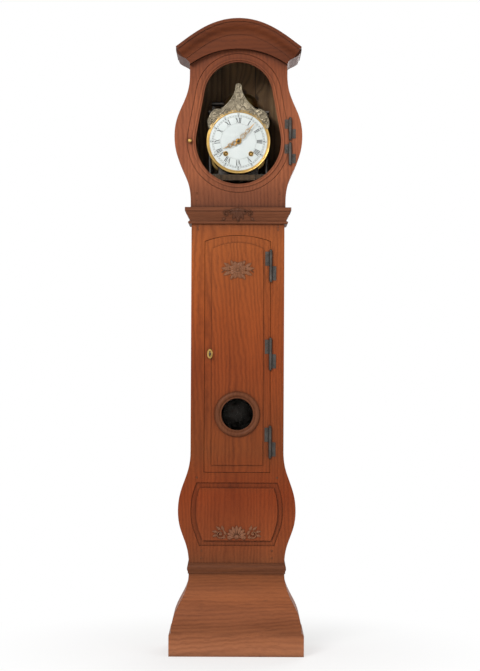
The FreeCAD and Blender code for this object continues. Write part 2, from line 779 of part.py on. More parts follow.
def trunk_door():
    """A board with a raised field and a round glazed hole for the pendulum."""
    board = slab(door_face(), TRUNK_FRONT_Y, DOOR_BACK_Y)
    field = slab(door_face(-DOOR_FIELD_INSET), DOOR_FACE_Y, TRUNK_FRONT_Y)
    door = fuse(board, field)
    door = door.cut(rod_y(LENS_R, 0, LENS_Z, DOOR_FACE_Y, DOOR_BACK_Y))
    door = door.cut(rod_y(LENS_R + LENS_REBATE, 0, LENS_Z, DOOR_BACK_Y - FRONT_T / 2, DOOR_BACK_Y))
    return door.cut(rod_y(KEY_R + KEYHOLE_GAP, KEY_X, KEY_Z, DOOR_FACE_Y, DOOR_BACK_Y))


def lens_ring():
    """A turned moulding round the pendulum window."""
    inner, outer = LENS_R - LENS_LIP, LENS_R + LENS_RING_W
    crest = (inner + outer + LENS_RING_STEP) / 2
    ledge = inner + LENS_RING_STEP
    low = DOOR_FACE_Y - LENS_RING_OUT * 0.4
    top = DOOR_FACE_Y - LENS_RING_OUT
    outline = [
        line((inner, DOOR_FACE_Y, 0), (outer, DOOR_FACE_Y, 0)),
        line((outer, DOOR_FACE_Y, 0), (outer, low, 0)),
        Part.Arc(V(outer, low, 0), V(crest, top, 0), V(ledge, low, 0)).toShape(),
        line((ledge, low, 0), (inner, low, 0)),
        line((inner, low, 0), (inner, DOOR_FACE_Y, 0)),
    ]
    ring = face_of(outline).revolve(V(0, 0, 0), V(0, 1, 0), 360)
    ring.translate(V(0, 0, LENS_Z))
    return ring


def lens_glass():
    seat = DOOR_BACK_Y - FRONT_T / 2
    return rod_y(LENS_R + LENS_REBATE - SEAT_CLEARANCE, 0, LENS_Z, seat, seat + GLASS_T)


def hood_door_frame():
    """A pear-shaped glazed frame with a bead round the glass."""
    ring = ring_of(eye_face(HOOD_RING_W), eye_face(), HOOD_FRONT_Y, HOOD_BACK_Y)
    bead = ring_of(eye_face(HOOD_RING_LIP + BEAD_W), eye_face(HOOD_RING_LIP),
                   HOOD_FRONT_Y - BEAD_OUT, HOOD_FRONT_Y)
    frame = fuse(ring, bead)
    frame = frame.cut(slab(eye_face(HOOD_RING_LIP), HOOD_FRONT_Y + HOOD_RING_LIP, HOOD_BACK_Y))
    return frame.cut(rod_y(CATCH_R + RUNNING, -CATCH_X, EYE_LOW_Z, HOOD_FRONT_Y, HOOD_BACK_Y))


def hood_glass():
    seat = HOOD_FRONT_Y + HOOD_RING_LIP
    return slab(eye_face(HOOD_RING_LIP - SEAT_CLEARANCE), seat, seat + GLASS_T)


def hinge_axis_y(face_y):
    return face_y - BARREL_R - SEAT_CLEARANCE


def case_hinge(x, face_y, z, half):
    """Lower knuckle with its pin, strapped to the case on the right."""
    y = hinge_axis_y(face_y)
    knuckle = rod_z(BARREL_R, x, y, z - half, z)
    pin = rod_z(HINGE_PIN_R, x, y, z, z + half * 0.8)
    ball = Part.makeSphere(HINGE_BALL_R, V(x, y, z - half - HINGE_BALL_R * 0.6))
    plate = box(x, x + STRAP_W, face_y - STRAP_T, face_y, z - half, z - STRAP_GAP)
    return fuse(knuckle, pin, ball, plate)


def door_hinge(x, face_y, z, half):
    """Upper knuckle, strapped to the door on the left."""
    y = hinge_axis_y(face_y)
    low = z + SEAT_CLEARANCE
    knuckle = rod_z(BARREL_R, x, y, low, z + half)
    ball = Part.makeSphere(HINGE_BALL_R, V(x, y, z + half + HINGE_BALL_R * 0.6))
    plate = box(x - STRAP_W, x, face_y - STRAP_T, face_y, low + STRAP_GAP, z + half)
    bore = rod_z(HINGE_PIN_R + RUNNING, x, y, low, z + half * 0.85)
    return fuse(knuckle, ball, plate).cut(bore)


def case_hinge_leaves():
    trunk = [case_hinge(TRUNK_HINGE_X, TRUNK_FRONT_Y, z, HINGE_HALF_L) for z in TRUNK_HINGE_Z]
    hood = [case_hinge(HOOD_HINGE_X, HOOD_FRONT_Y, z, HOOD_HINGE_HALF_L) for z in HOOD_HINGE_Z]
    return Part.makeCompound(trunk + hood)


def trunk_door_hinge_leaves():
    return Part.makeCompound([door_hinge(TRUNK_HINGE_X, TRUNK_FRONT_Y, z, HINGE_HALF_L)
                              for z in TRUNK_HINGE_Z])


def hood_door_hinge_leaves():
    return Part.makeCompound([door_hinge(HOOD_HINGE_X, HOOD_FRONT_Y, z, HOOD_HINGE_HALF_L)
                              for z in HOOD_HINGE_Z])


def door_lock():
    """Rim lock on the back of the trunk door, open on the side where its bolt leaves."""
    front = DOOR_BACK_Y + LOCK_WALL
    low = KEY_Z + BOLT_LIFT - SEAT_CLEARANCE
    case = box(LOCK_X, LOCK_X + LOCK_W, DOOR_BACK_Y, DOOR_BACK_Y + LOCK_T,
               KEY_Z - LOCK_HALF_H, KEY_Z + LOCK_HALF_H)
    channel = box(LOCK_X, LOCK_X + LOCK_W - LOCK_WALL, front, front + BOLT_T + 2 * SEAT_CLEARANCE,
                  low, low + BOLT_H + 2 * SEAT_CLEARANCE)
    keyway = rod_y(KEY_R + KEYHOLE_GAP, KEY_X, KEY_Z, DOOR_BACK_Y, DOOR_BACK_Y + LOCK_T - LOCK_WALL)
    return case.cut(channel).cut(keyway)


def door_bolt():
    front = DOOR_BACK_Y + LOCK_WALL + SEAT_CLEARANCE
    low = KEY_Z + BOLT_LIFT
    return box(LOCK_X, LOCK_X + BOLT_L, front, front + BOLT_T, low, low + BOLT_H)


def door_key():
    """A small key with a ring bow, turning in the lock."""
    tip = DOOR_BACK_Y + LOCK_T - LOCK_WALL - SEAT_CLEARANCE
    head = DOOR_FACE_Y - KEY_OUT
    shank = rod_y(KEY_R, KEY_X, KEY_Z, head, tip)
    collar = rod_y(KEY_R * 1.6, KEY_X, KEY_Z, head, head + KEY_R * 1.6)
    bow = ring_of(disc_face(KEY_BOW_R + KEY_R * 0.8, 0, 0), disc_face(KEY_BOW_R - KEY_R * 0.8, 0, 0),
                  -KEY_R * 0.8, KEY_R * 0.8)
    bow.rotate(V(0, 0, 0), V(0, 0, 1), 90)
    bow.translate(V(KEY_X, head - KEY_BOW_R, KEY_Z))
    return fuse(shank, collar, bow)


def key_escutcheon():
    """A pierced oval plate round the keyhole."""
    oval = Part.Ellipse(V(KEY_X, 0, KEY_Z), ESCUTCHEON_H, ESCUTCHEON_W).toShape()
    oval.rotate(V(KEY_X, 0, KEY_Z), V(1, 0, 0), 90)
    oval.rotate(V(KEY_X, 0, KEY_Z), V(0, 1, 0), 90)
    plate = slab(Part.Face(Part.Wire(oval)), DOOR_FACE_Y - STRAP_T, DOOR_FACE_Y)
    return plate.cut(rod_y(KEY_R + KEYHOLE_GAP, KEY_X, KEY_Z, DOOR_FACE_Y - STRAP_T, DOOR_FACE_Y))


def hood_catch():
    """A turned knob whose spindle carries a tongue behind the hood door."""
    seat = HOOD_FRONT_Y - SEAT_CLEARANCE
    tail = HOOD_BACK_Y + SEAT_CLEARANCE + CATCH_TONGUE_T
    spindle = rod_y(CATCH_R, -CATCH_X, EYE_LOW_Z, seat, tail)
    neck = rod_y(CATCH_NECK_R, -CATCH_X, EYE_LOW_Z, seat - CATCH_NECK_L, seat)
    knob = Part.makeSphere(CATCH_KNOB_R, V(-CATCH_X, seat - CATCH_NECK_L - CATCH_KNOB_R * 0.6, EYE_LOW_Z))
    tongue = box(-CATCH_X - CATCH_NECK_R, -CATCH_X + CATCH_NECK_R, tail - CATCH_TONGUE_T, tail,
                 EYE_LOW_Z - CATCH_TONGUE_L, EYE_LOW_Z + CATCH_NECK_R)
    return fuse(spindle, neck, knob, tongue)


# The movement

def half_at(edges, z):
    """Half width of a run of edges at height z."""
    level = line(xz(0, z), xz(2 * CROWN_HALF, z))
    return min(edges, key=lambda edge: edge.distToShape(level)[0]).distToShape(level)[1][0][0].x


def seat_board():
    """The shelf that carries the movement, slotted for the two cords."""
    half = half_at(head_edges(SIDE_T), SEAT_LOW_Z) - SEAT_CLEARANCE
    shelf = box(-half, half, HOOD_BACK_Y + SEAT_GAP, CAGE_BACK_Y, SEAT_LOW_Z, CAGE_FLOOR_Z)
    return cord_slots(shelf, SEAT_LOW_Z, CAGE_FLOOR_Z)


def cord_slots(shelf, low, high):
    for side in (-1, 1):
        x = side * CORD_X
        shelf = shelf.cut(box(x - CORD_SLOT, x + CORD_SLOT, DRUM_Y[0], DRUM_Y[1], low, high))
    return shelf


def seat_bearers():
    """Two battens under the shelf, one on each side of the hood."""
    low = SEAT_LOW_Z - BEARER_H
    half = half_at(head_edges(SIDE_T), low)
    right = box(half - BEARER_W, half, HOOD_BACK_Y + SEAT_GAP, CAGE_BACK_Y, low, SEAT_LOW_Z)
    return [mirror_x(right), right]


def cage_plate(low):
    return box(-CAGE_HALF, CAGE_HALF, CAGE_FRONT_Y - CAGE_EDGE, CAGE_BACK_Y + CAGE_EDGE, low, low + PLATE_T)


def movement_bottom_plate():
    return cord_slots(cage_plate(CAGE_FLOOR_Z), CAGE_FLOOR_Z, BARS_LOW_Z)


def movement_top_plate():
    """Top plate with the pendulum's bracket behind and two ears for the hammer."""
    arm = box(-COCK_HALF, COCK_HALF, CAGE_BACK_Y, COCK_Y, BARS_HIGH_Z, CAGE_TOP_Z)
    drop = box(-COCK_HALF, COCK_HALF, COCK_Y - COCK_T, COCK_Y, ANCHOR_Z - COCK_HALF, BARS_HIGH_Z)
    stud = rod_y(STUD_R, 0, ANCHOR_Z, PENDULUM_Y - ROD_EYE_T / 2, COCK_Y - COCK_T)
    ears = []
    for y in HAMMER_EAR_Y:
        fore, aft = y - HAMMER_EAR_T / 2, y + HAMMER_EAR_T / 2
        ear = box(-HAMMER_X - HAMMER_EAR_HALF, -HAMMER_X + HAMMER_EAR_HALF, fore, aft,
                  CAGE_TOP_Z, HAMMER_Z + HAMMER_EAR_HALF)
        ears.append(ear.cut(rod_y(PIVOT_R + RUNNING, -HAMMER_X, HAMMER_Z, fore, aft)))
    return fuse(cage_plate(BARS_HIGH_Z), arm, drop, stud, *ears)


def movement_pillars():
    posts = []
    for x in (-PILLAR_X, PILLAR_X):
        for y in (CAGE_FRONT_Y + CAGE_EDGE, CAGE_BACK_Y - CAGE_EDGE):
            posts.append(rod_z(PILLAR_R, x, y, BARS_LOW_Z, BARS_HIGH_Z))
    return Part.makeCompound(posts)


def pivot_bars():
    """Six upright bars, three before and three behind, bored for the arbors."""
    spans = ((-SIDE_BAR[1], -SIDE_BAR[0]), (-CENTRE_BAR, CENTRE_BAR), SIDE_BAR)
    fore = (CAGE_FRONT_Y, CAGE_FRONT_Y + BAR_T)
    aft = (CAGE_BACK_Y - BAR_T, CAGE_BACK_Y)
    bars = [box(a, b, *depth, BARS_LOW_Z, BARS_HIGH_Z) for depth in (fore, aft) for a, b in spans]
    arbors = (
        (BARREL_X, BARREL_Z, WINDING_R), (-BARREL_X, BARREL_Z, WINDING_R), (0, DIAL_Z, STUD_R),
        (0, ESCAPE_Z, PIVOT_R), (0, ANCHOR_Z, PIVOT_R), (-PIN_X, PIN_Z, PIVOT_R), (-PIN_X, FLY_Z, PIVOT_R),
    )
    for x, z, front_r in arbors:
        bars = [bar.cut(rod_y(front_r + RUNNING, x, z, *fore)) for bar in bars]
        bars = [bar.cut(rod_y(PIVOT_R + RUNNING, x, z, *aft)) for bar in bars]
    bars[1] = fuse(bars[1], rod_y(STUD_R, 0, MINUTE_WHEEL_Z, MINUTE_STUD_Y, CAGE_FRONT_Y))
    return Part.makeCompound(bars)


def arbor(x, z, *runs):
    """A stepped spindle from (radius, y0, y1) runs."""
    return fuse(*[rod_y(r, x, z, y0, y1) for r, y0, y1 in runs])


def plain_arbor(x, z):
    """A spindle between the bars with a fine pivot at each end."""
    return arbor(x, z, (PIVOT_R, CAGE_FRONT_Y, FORE_Y), (ARBOR_R, FORE_Y, AFT_Y),
                 (PIVOT_R, AFT_Y, CAGE_BACK_Y))


def facing(x0, z0, x1, z1):
    return math.atan2(z1 - z0, x1 - x0)


def barrel(side, wheel_y, mate_x, mate_z):
    """A cord drum with its great wheel and winding square."""
    x = side * BARREL_X
    neck = CAGE_FRONT_Y - CAGE_EDGE
    spindle = arbor(x, BARREL_Z, (WINDING_R, neck, FORE_Y), (BARREL_ARBOR_R, FORE_Y, AFT_Y),
                    (PIVOT_R, AFT_Y, CAGE_BACK_Y))
    square = box(x - SQUARE / 2, x + SQUARE / 2, DIAL_Y - DIAL_RISE, neck,
                 BARREL_Z - SQUARE / 2, BARREL_Z + SQUARE / 2)
    drum = rod_y(DRUM_R, x, BARREL_Z, *DRUM_Y)
    flanges = [rod_y(DRUM_R + FLANGE, x, BARREL_Z, DRUM_Y[0] - FLANGE_T, DRUM_Y[0]),
               rod_y(DRUM_R + FLANGE, x, BARREL_Z, DRUM_Y[1], DRUM_Y[1] + FLANGE_T)]
    great = gear(GREAT_TEETH, GREAT_M, x, BARREL_Z, *wheel_y, facing(x, BARREL_Z, mate_x, mate_z))
    rim = GREAT_M * (GREAT_TEETH / 2 - 5)
    great = spoked(great, x, BARREL_Z, *wheel_y, DRUM_R * 0.6, rim)
    return fuse(spindle, square, drum, great, *flanges)


def pinion(x, z, module, wheel_y, from_x, from_z):
    """A pinion a little longer than the wheel that drives it, with a tooth space towards it."""
    half_pitch = math.pi / PINION_TEETH
    return gear(PINION_TEETH, module, x, z, wheel_y[0] - LEAF_OVER, wheel_y[1] + LEAF_OVER,
                facing(x, z, from_x, from_z) + half_pitch)


def centre_wheel():
    """Minute arbor: leaves for the great wheel, the second wheel and the cannon pinion."""
    spindle = arbor(0, DIAL_Z, (STUD_R, MINUTE_HAND_Y - HAND_T, FORE_Y), (ARBOR_R, FORE_Y, AFT_Y),
                    (PIVOT_R, AFT_Y, CAGE_BACK_Y))
    leaves = pinion(0, DIAL_Z, GREAT_M, GOING_Y, BARREL_X, BARREL_Z)
    wheel = gear(SECOND_TEETH, SECOND_M, 0, DIAL_Z, *SECOND_Y, facing(0, DIAL_Z, 0, ESCAPE_Z))
    wheel = spoked(wheel, 0, DIAL_Z, *SECOND_Y, ARBOR_R * 3, SECOND_M * (SECOND_TEETH / 2 - 4))
    cannon = gear(CANNON_TEETH, MOTION_M, 0, DIAL_Z, *CANNON_Y,
                  facing(0, DIAL_Z, 0, MINUTE_WHEEL_Z) + math.pi / CANNON_TEETH)
    return fuse(spindle, leaves, wheel, cannon)


def escape_wheel():
    """Raked teeth on a light rim, with the leaves that the second wheel drives."""
    leaves = pinion(0, ESCAPE_Z, SECOND_M, SECOND_Y, 0, DIAL_Z)
    points = []
    for k in range(ESCAPE_TEETH):
        for radius, turn in ((ESCAPE_R * 0.84, 0.0), (ESCAPE_R, 0.72), (ESCAPE_R, 0.84)):
            angle = 2 * math.pi * (k + turn) / ESCAPE_TEETH
            points.append(V(radius * math.cos(angle), 0, ESCAPE_Z + radius * math.sin(angle)))
    rim = slab(Part.Face(Part.makePolygon(points + points[:1])), *ESCAPE_Y)
    rim = spoked(rim, 0, ESCAPE_Z, *ESCAPE_Y, ARBOR_R * 2.4, ESCAPE_R * 0.7)
    return fuse(plain_arbor(0, ESCAPE_Z), leaves, rim)


def anchor():
    """Recoil anchor over the escape wheel, with the forked crutch behind."""
    fore = CAGE_BACK_Y + CRUTCH_GAP
    crutch_y = (fore, fore + CRUTCH_T)
    spindle = arbor(0, ANCHOR_Z, (PIVOT_R, CAGE_FRONT_Y, FORE_Y), (ARBOR_R, FORE_Y, AFT_Y),
                    (PIVOT_R, AFT_Y, crutch_y[1]))
    band = ring_of(disc_face(ANCHOR_BAND[1], 0, ESCAPE_Z), disc_face(ANCHOR_BAND[0], 0, ESCAPE_Z), *ANCHOR_Y)
    low = ESCAPE_Z + ANCHOR_BAND[0] * math.sin(math.radians(ANCHOR_SPAN_DEG))
    band = band.common(box(-ANCHOR_BAND[1], ANCHOR_BAND[1], *ANCHOR_Y, low, ANCHOR_Z))
    boss = rod_y(ANCHOR_OVER * 0.6, 0, ANCHOR_Z, *ANCHOR_Y)
    end = ANCHOR_Z - CRUTCH_L
    bar = box(-CRUTCH_W / 2, CRUTCH_W / 2, *crutch_y, end, ANCHOR_Z)
    hub = rod_y(CRUTCH_W, 0, ANCHOR_Z, *crutch_y)
    inner = ROD_R + FORK_GAP
    outer = inner + CRUTCH_T
    cross = box(-outer, outer, *crutch_y, end, end + CRUTCH_W)
    prong = box(inner, outer, fore, PENDULUM_Y + ROD_R + CRUTCH_GAP, end, end + CRUTCH_W)
    return fuse(spindle, band, boss, bar, hub, cross, prong, mirror_x(prong))


def pendulum_rod():
    """Rod hung by an eye on the bracket's stud."""
    fore, aft = PENDULUM_Y - ROD_EYE_T / 2, PENDULUM_Y + ROD_EYE_T / 2
    eye = rod_y(ROD_EYE_R, 0, ANCHOR_Z, fore, aft)
    rod = rod_z(ROD_R, 0, PENDULUM_Y, LENS_Z - BOB_R - ROD_TAIL, ANCHOR_Z)
    bore = rod_y(STUD_R + RUNNING, 0, ANCHOR_Z, PENDULUM_Y - ROD_EYE_R, PENDULUM_Y + ROD_EYE_R)
    return fuse(eye, rod).cut(bore)


def pendulum_bob():
    """A lens-shaped bob on the rod, and its nut."""
    ball_r = (BOB_R ** 2 + (BOB_T / 2) ** 2) / BOB_T
    fore = Part.makeSphere(ball_r, V(0, PENDULUM_Y + ball_r - BOB_T / 2, LENS_Z))
    aft = Part.makeSphere(ball_r, V(0, PENDULUM_Y - ball_r + BOB_T / 2, LENS_Z))
    edge = rod_y(BOB_R - BOB_RIM, 0, LENS_Z, PENDULUM_Y - BOB_T, PENDULUM_Y + BOB_T)
    bore = rod_z(ROD_R + RUNNING, 0, PENDULUM_Y, LENS_Z - 2 * BOB_R, LENS_Z + 2 * BOB_R)
    low = LENS_Z - BOB_R
    nut = rod_z(NUT_R, 0, PENDULUM_Y, low - NUT_H, low)
    return Part.makeCompound([fore.common(aft).common(edge).cut(bore), nut.cut(bore)])


def minute_wheel():
    """Intermediate wheel of the motion work, on the stud in front of the cage."""
    z = MINUTE_WHEEL_Z
    up = facing(0, z, 0, DIAL_Z)
    front = HOUR_WHEEL_Y[0] - LEAF_OVER
    wheel = gear(MINUTE_TEETH, MOTION_M, 0, z, *MINUTE_WHEEL_Y, up)
    small = gear(MINUTE_PINION_TEETH, HOUR_M, 0, z, front, MINUTE_WHEEL_Y[0], up)
    return fuse(wheel, small).cut(rod_y(STUD_R + RUNNING, 0, z, front, MINUTE_WHEEL_Y[1]))


def hand(length, back_y, width, angle, bore):
    """A pierced hand turned clockwise from twelve o'clock by angle, in degrees."""
    depth = (back_y - HAND_T, back_y)
    eye = DIAL_Z + length * 0.62
    tip = DIAL_Z + length
    corners = ((-width, eye), (width, eye), (width / 10, tip), (-width / 10, tip))
    blade = Part.Face(Part.makePolygon([xz(*corner) for corner in corners + corners[:1]]))
    shape = fuse(
        rod_y(bore + HAND_BOSS, 0, DIAL_Z, *depth),
        box(-width / 2, width / 2, *depth, DIAL_Z - length * 0.16, eye),
        rod_y(width * 1.5, 0, eye, *depth),
        slab(blade, *depth),
    )
    shape = shape.cut(rod_y(width * 0.8, 0, eye, *depth)).cut(rod_y(bore, 0, DIAL_Z, *depth))
    shape.rotate(V(0, 0, DIAL_Z), V(0, 1, 0), angle)
    return shape


def minute_hand():
    return hand(DIAL_R * 0.84, MINUTE_HAND_Y + HAND_T, MINUTE_HAND_W, MINUTE_ANGLE, STUD_R)


def hour_wheel():
    """Hour wheel with the pipe that carries its hand."""
    phase = facing(0, DIAL_Z, 0, MINUTE_WHEEL_Z) + math.pi / HOUR_TEETH
    wheel = gear(HOUR_TEETH, HOUR_M, 0, DIAL_Z, *HOUR_WHEEL_Y, phase)
    wheel = spoked(wheel, 0, DIAL_Z, *HOUR_WHEEL_Y, PIPE_R * 1.6, HOUR_M * (HOUR_TEETH / 2 - 4))
    pipe = rod_y(PIPE_R, 0, DIAL_Z, HOUR_HAND_Y, HOUR_WHEEL_Y[1])
    return fuse(wheel, pipe).cut(rod_y(STUD_R + RUNNING, 0, DIAL_Z, HOUR_HAND_Y, HOUR_WHEEL_Y[1]))


def hour_hand():
    return hand(DIAL_R * 0.58, HOUR_HAND_Y + HAND_T, HOUR_HAND_W, HOUR_ANGLE, PIPE_R)


# Striking work

def pin_wheel():
    """Striking wheel with its lifting pins."""
    leaves = pinion(-PIN_X, PIN_Z, GREAT_M, STRIKE_Y, -BARREL_X, BARREL_Z)
    wheel = gear(SECOND_TEETH, STRIKE_M, -PIN_X, PIN_Z, *PIN_WHEEL_Y, facing(0, PIN_Z, 0, FLY_Z))
    circle = STRIKE_M * (SECOND_TEETH / 2 - 5)
    wheel = spoked(wheel, -PIN_X, PIN_Z, *PIN_WHEEL_Y, ARBOR_R * 2.6, circle - 2 * PIN_R)
    pins = []
    for k in range(PIN_COUNT):
        angle = 2 * math.pi * k / PIN_COUNT
        x, z = -PIN_X + circle * math.cos(angle), PIN_Z + circle * math.sin(angle)
        pins.append(rod_y(PIN_R, x, z, PIN_WHEEL_Y[1], PIN_WHEEL_Y[1] + PIN_L))
    return fuse(plain_arbor(-PIN_X, PIN_Z), leaves, wheel, *pins)


def fly():
    """Air brake of the striking work."""
    leaves = pinion(-PIN_X, FLY_Z, STRIKE_M, PIN_WHEEL_Y, -PIN_X, PIN_Z)
    vane = box(-PIN_X - FLY_R, -PIN_X + FLY_R, *FLY_Y, FLY_Z - FLY_T / 2, FLY_Z + FLY_T / 2)
    return fuse(plain_arbor(-PIN_X, FLY_Z), leaves, vane)


def hammer():
    """Hammer standing in the ears of the top plate."""
    y0, y1 = HAMMER_EAR_Y
    middle = (y0 + y1) / 2
    ear = HAMMER_EAR_T / 2
    spindle = arbor(-HAMMER_X, HAMMER_Z, (PIVOT_R, y0 - ear, y1 + ear),
                    (ARBOR_R, y0 + ear + END_SHAKE, y1 - ear - END_SHAKE))
    stem = box(-HAMMER_X - PIVOT_R, -HAMMER_X + PIVOT_R, middle - PIVOT_R, middle + PIVOT_R,
               HAMMER_Z, HAMMER_HEAD_Z)
    tail_x = -HAMMER_X - HAMMER_HEAD_R
    reach = BELL_X - BELL_R - HAMMER_GAP - tail_x
    head = Part.makeCylinder(HAMMER_HEAD_R, reach, V(tail_x, middle, HAMMER_HEAD_Z), V(1, 0, 0))
    return fuse(spindle, stem, head)


def bell():
    """An open bell, mouth down, with a steep wall under a round crown."""
    def dome(radius, height):
        brow = radius * 0.62
        wall = arc_xz((radius, 0), (radius * 0.93, height * 0.52), (brow, height * 0.9))
        cap = arc_xz((brow, height * 0.9), (brow * 0.5, height * 0.975), (0, height))
        face = face_of([wall, cap, line((0, 0, height), (0, 0, 0)), line((0, 0, 0), (radius, 0, 0))])
        return face.revolve(V(0, 0, 0), V(0, 0, 1), 360)

    shell = dome(BELL_R, BELL_H).cut(dome(BELL_R - BELL_T, BELL_H - BELL_T))
    shell = shell.cut(rod_z(BELL_POST_R + SEAT_CLEARANCE, 0, 0, 0, BELL_H))
    shell.translate(V(BELL_X, BELL_Y, BELL_Z))
    return shell


def bell_stand():
    """A post with a shoulder inside the bell and a nut over it."""
    top = BELL_Z + BELL_H
    under = top - BELL_T - BELL_T / 2
    shoulder_r = BELL_POST_R * 1.8
    return fuse(rod_z(BELL_POST_R, BELL_X, BELL_Y, CAGE_TOP_Z, top + BELL_POST_R * 2),
                rod_z(shoulder_r, BELL_X, BELL_Y, CAGE_TOP_Z, CAGE_TOP_Z + BELL_POST_R),
                rod_z(shoulder_r, BELL_X, BELL_Y, under - BELL_T, under),
                rod_z(shoulder_r, BELL_X, BELL_Y, top + SEAT_CLEARANCE, top + BELL_POST_R))


# The dial

def dial_holes(shape, y0, y1):
    shape = shape.cut(rod_y(PIPE_R + PIPE_GAP, 0, DIAL_Z, y0, y1))
    for side in (-1, 1):
        shape = shape.cut(rod_y(WINDING_HOLE_R, side * BARREL_X, BARREL_Z, y0, y1))
    return shape


def dial_plate():
    """Back plate of the dial with four feet on the front bars."""
    back = DIAL_Y + DIAL_PLATE_T
    foot_x = (SIDE_BAR[0] + SIDE_BAR[1]) / 2
    plate = dial_holes(rod_y(DIAL_R + DIAL_PLATE_OUT, 0, DIAL_Z, DIAL_Y, back), DIAL_Y, back)
    feet = [rod_y(DIAL_FOOT_R, x, DIAL_Z + rise, back, CAGE_FRONT_Y)
            for x in (-foot_x, foot_x) for rise in DIAL_FEET]
    return fuse(plate, *feet)


def enamel_dial():
    """A slightly domed plate."""
    front = DIAL_Y - DIAL_RIM - DIAL_RISE
    ball = (DIAL_R ** 2 + DIAL_RISE ** 2) / (2 * DIAL_RISE)
    dome = Part.makeSphere(ball, V(0, front + ball, DIAL_Z))
    dome = dome.common(rod_y(DIAL_R, 0, DIAL_Z, front, DIAL_Y))
    return dial_holes(dome, front, DIAL_Y)


def dial_fronton():
    """A stamped pediment over the dial, held by a bent bar from the top of the movement."""
    rim = DIAL_R + PIPE_GAP
    foot = math.radians(42)
    low = (rim * math.cos(foot), DIAL_Z + rim * math.sin(foot))
    neck = (FRONTON_STRUT, FRONTON_Z - FRONTON_STRUT * 2)
    side = bezier_xz(low, (low[0] * 0.8, low[1] + FRONTON_H * 0.32),
                     (neck[0] * 1.8, neck[1] - FRONTON_H * 0.35), neck)
    crest = bezier_xz(neck, (neck[0] * 1.2, FRONTON_Z - neck[0] / 2),
                      (neck[0] / 2, FRONTON_Z), (0, FRONTON_Z))
    base = arc_xz((-low[0], low[1]), (0, DIAL_Z + rim), low)
    face = slab(face_of([side, crest, mirror_x(side), mirror_x(crest), base]), DIAL_Y - FRONTON_T, DIAL_Y)
    back = DIAL_Y + DIAL_PLATE_T
    half = FRONTON_STRUT / 2
    top = FRONTON_Z - FRONTON_H / 2
    return fuse(face,
                box(-half, half, back, CAGE_FRONT_Y - CAGE_EDGE, BARS_HIGH_Z, CAGE_TOP_Z),
                box(-half, half, back, back + DIAL_PLATE_T, BARS_HIGH_Z, top),
                box(-half, half, DIAL_Y, back, top - FRONTON_STRUT, top))


# Weights and their cords

def weight(side):
    """A cast cylinder with a ring on top."""
    x = side * CORD_X
    body = rod_z(WEIGHT_R, x, CORD_Y, WEIGHT_TOP_Z - WEIGHT_H, WEIGHT_TOP_Z)
    shoulder = Part.makeCone(WEIGHT_R, RING_R, WEIGHT_CONE, V(x, CORD_Y, WEIGHT_TOP_Z), V(0, 0, 1))
    ring = Part.makeTorus(RING_R, RING_WIRE, V(x, CORD_Y, RING_Z), V(0, 1, 0))
    return fuse(body, shoulder, ring)


def cord(side):
    """The hanging run of cord between a drum and its weight's ring."""
    return rod_z(CORD_R, side * CORD_X, CORD_Y, RING_Z + RING_R + RING_WIRE, BARREL_Z)


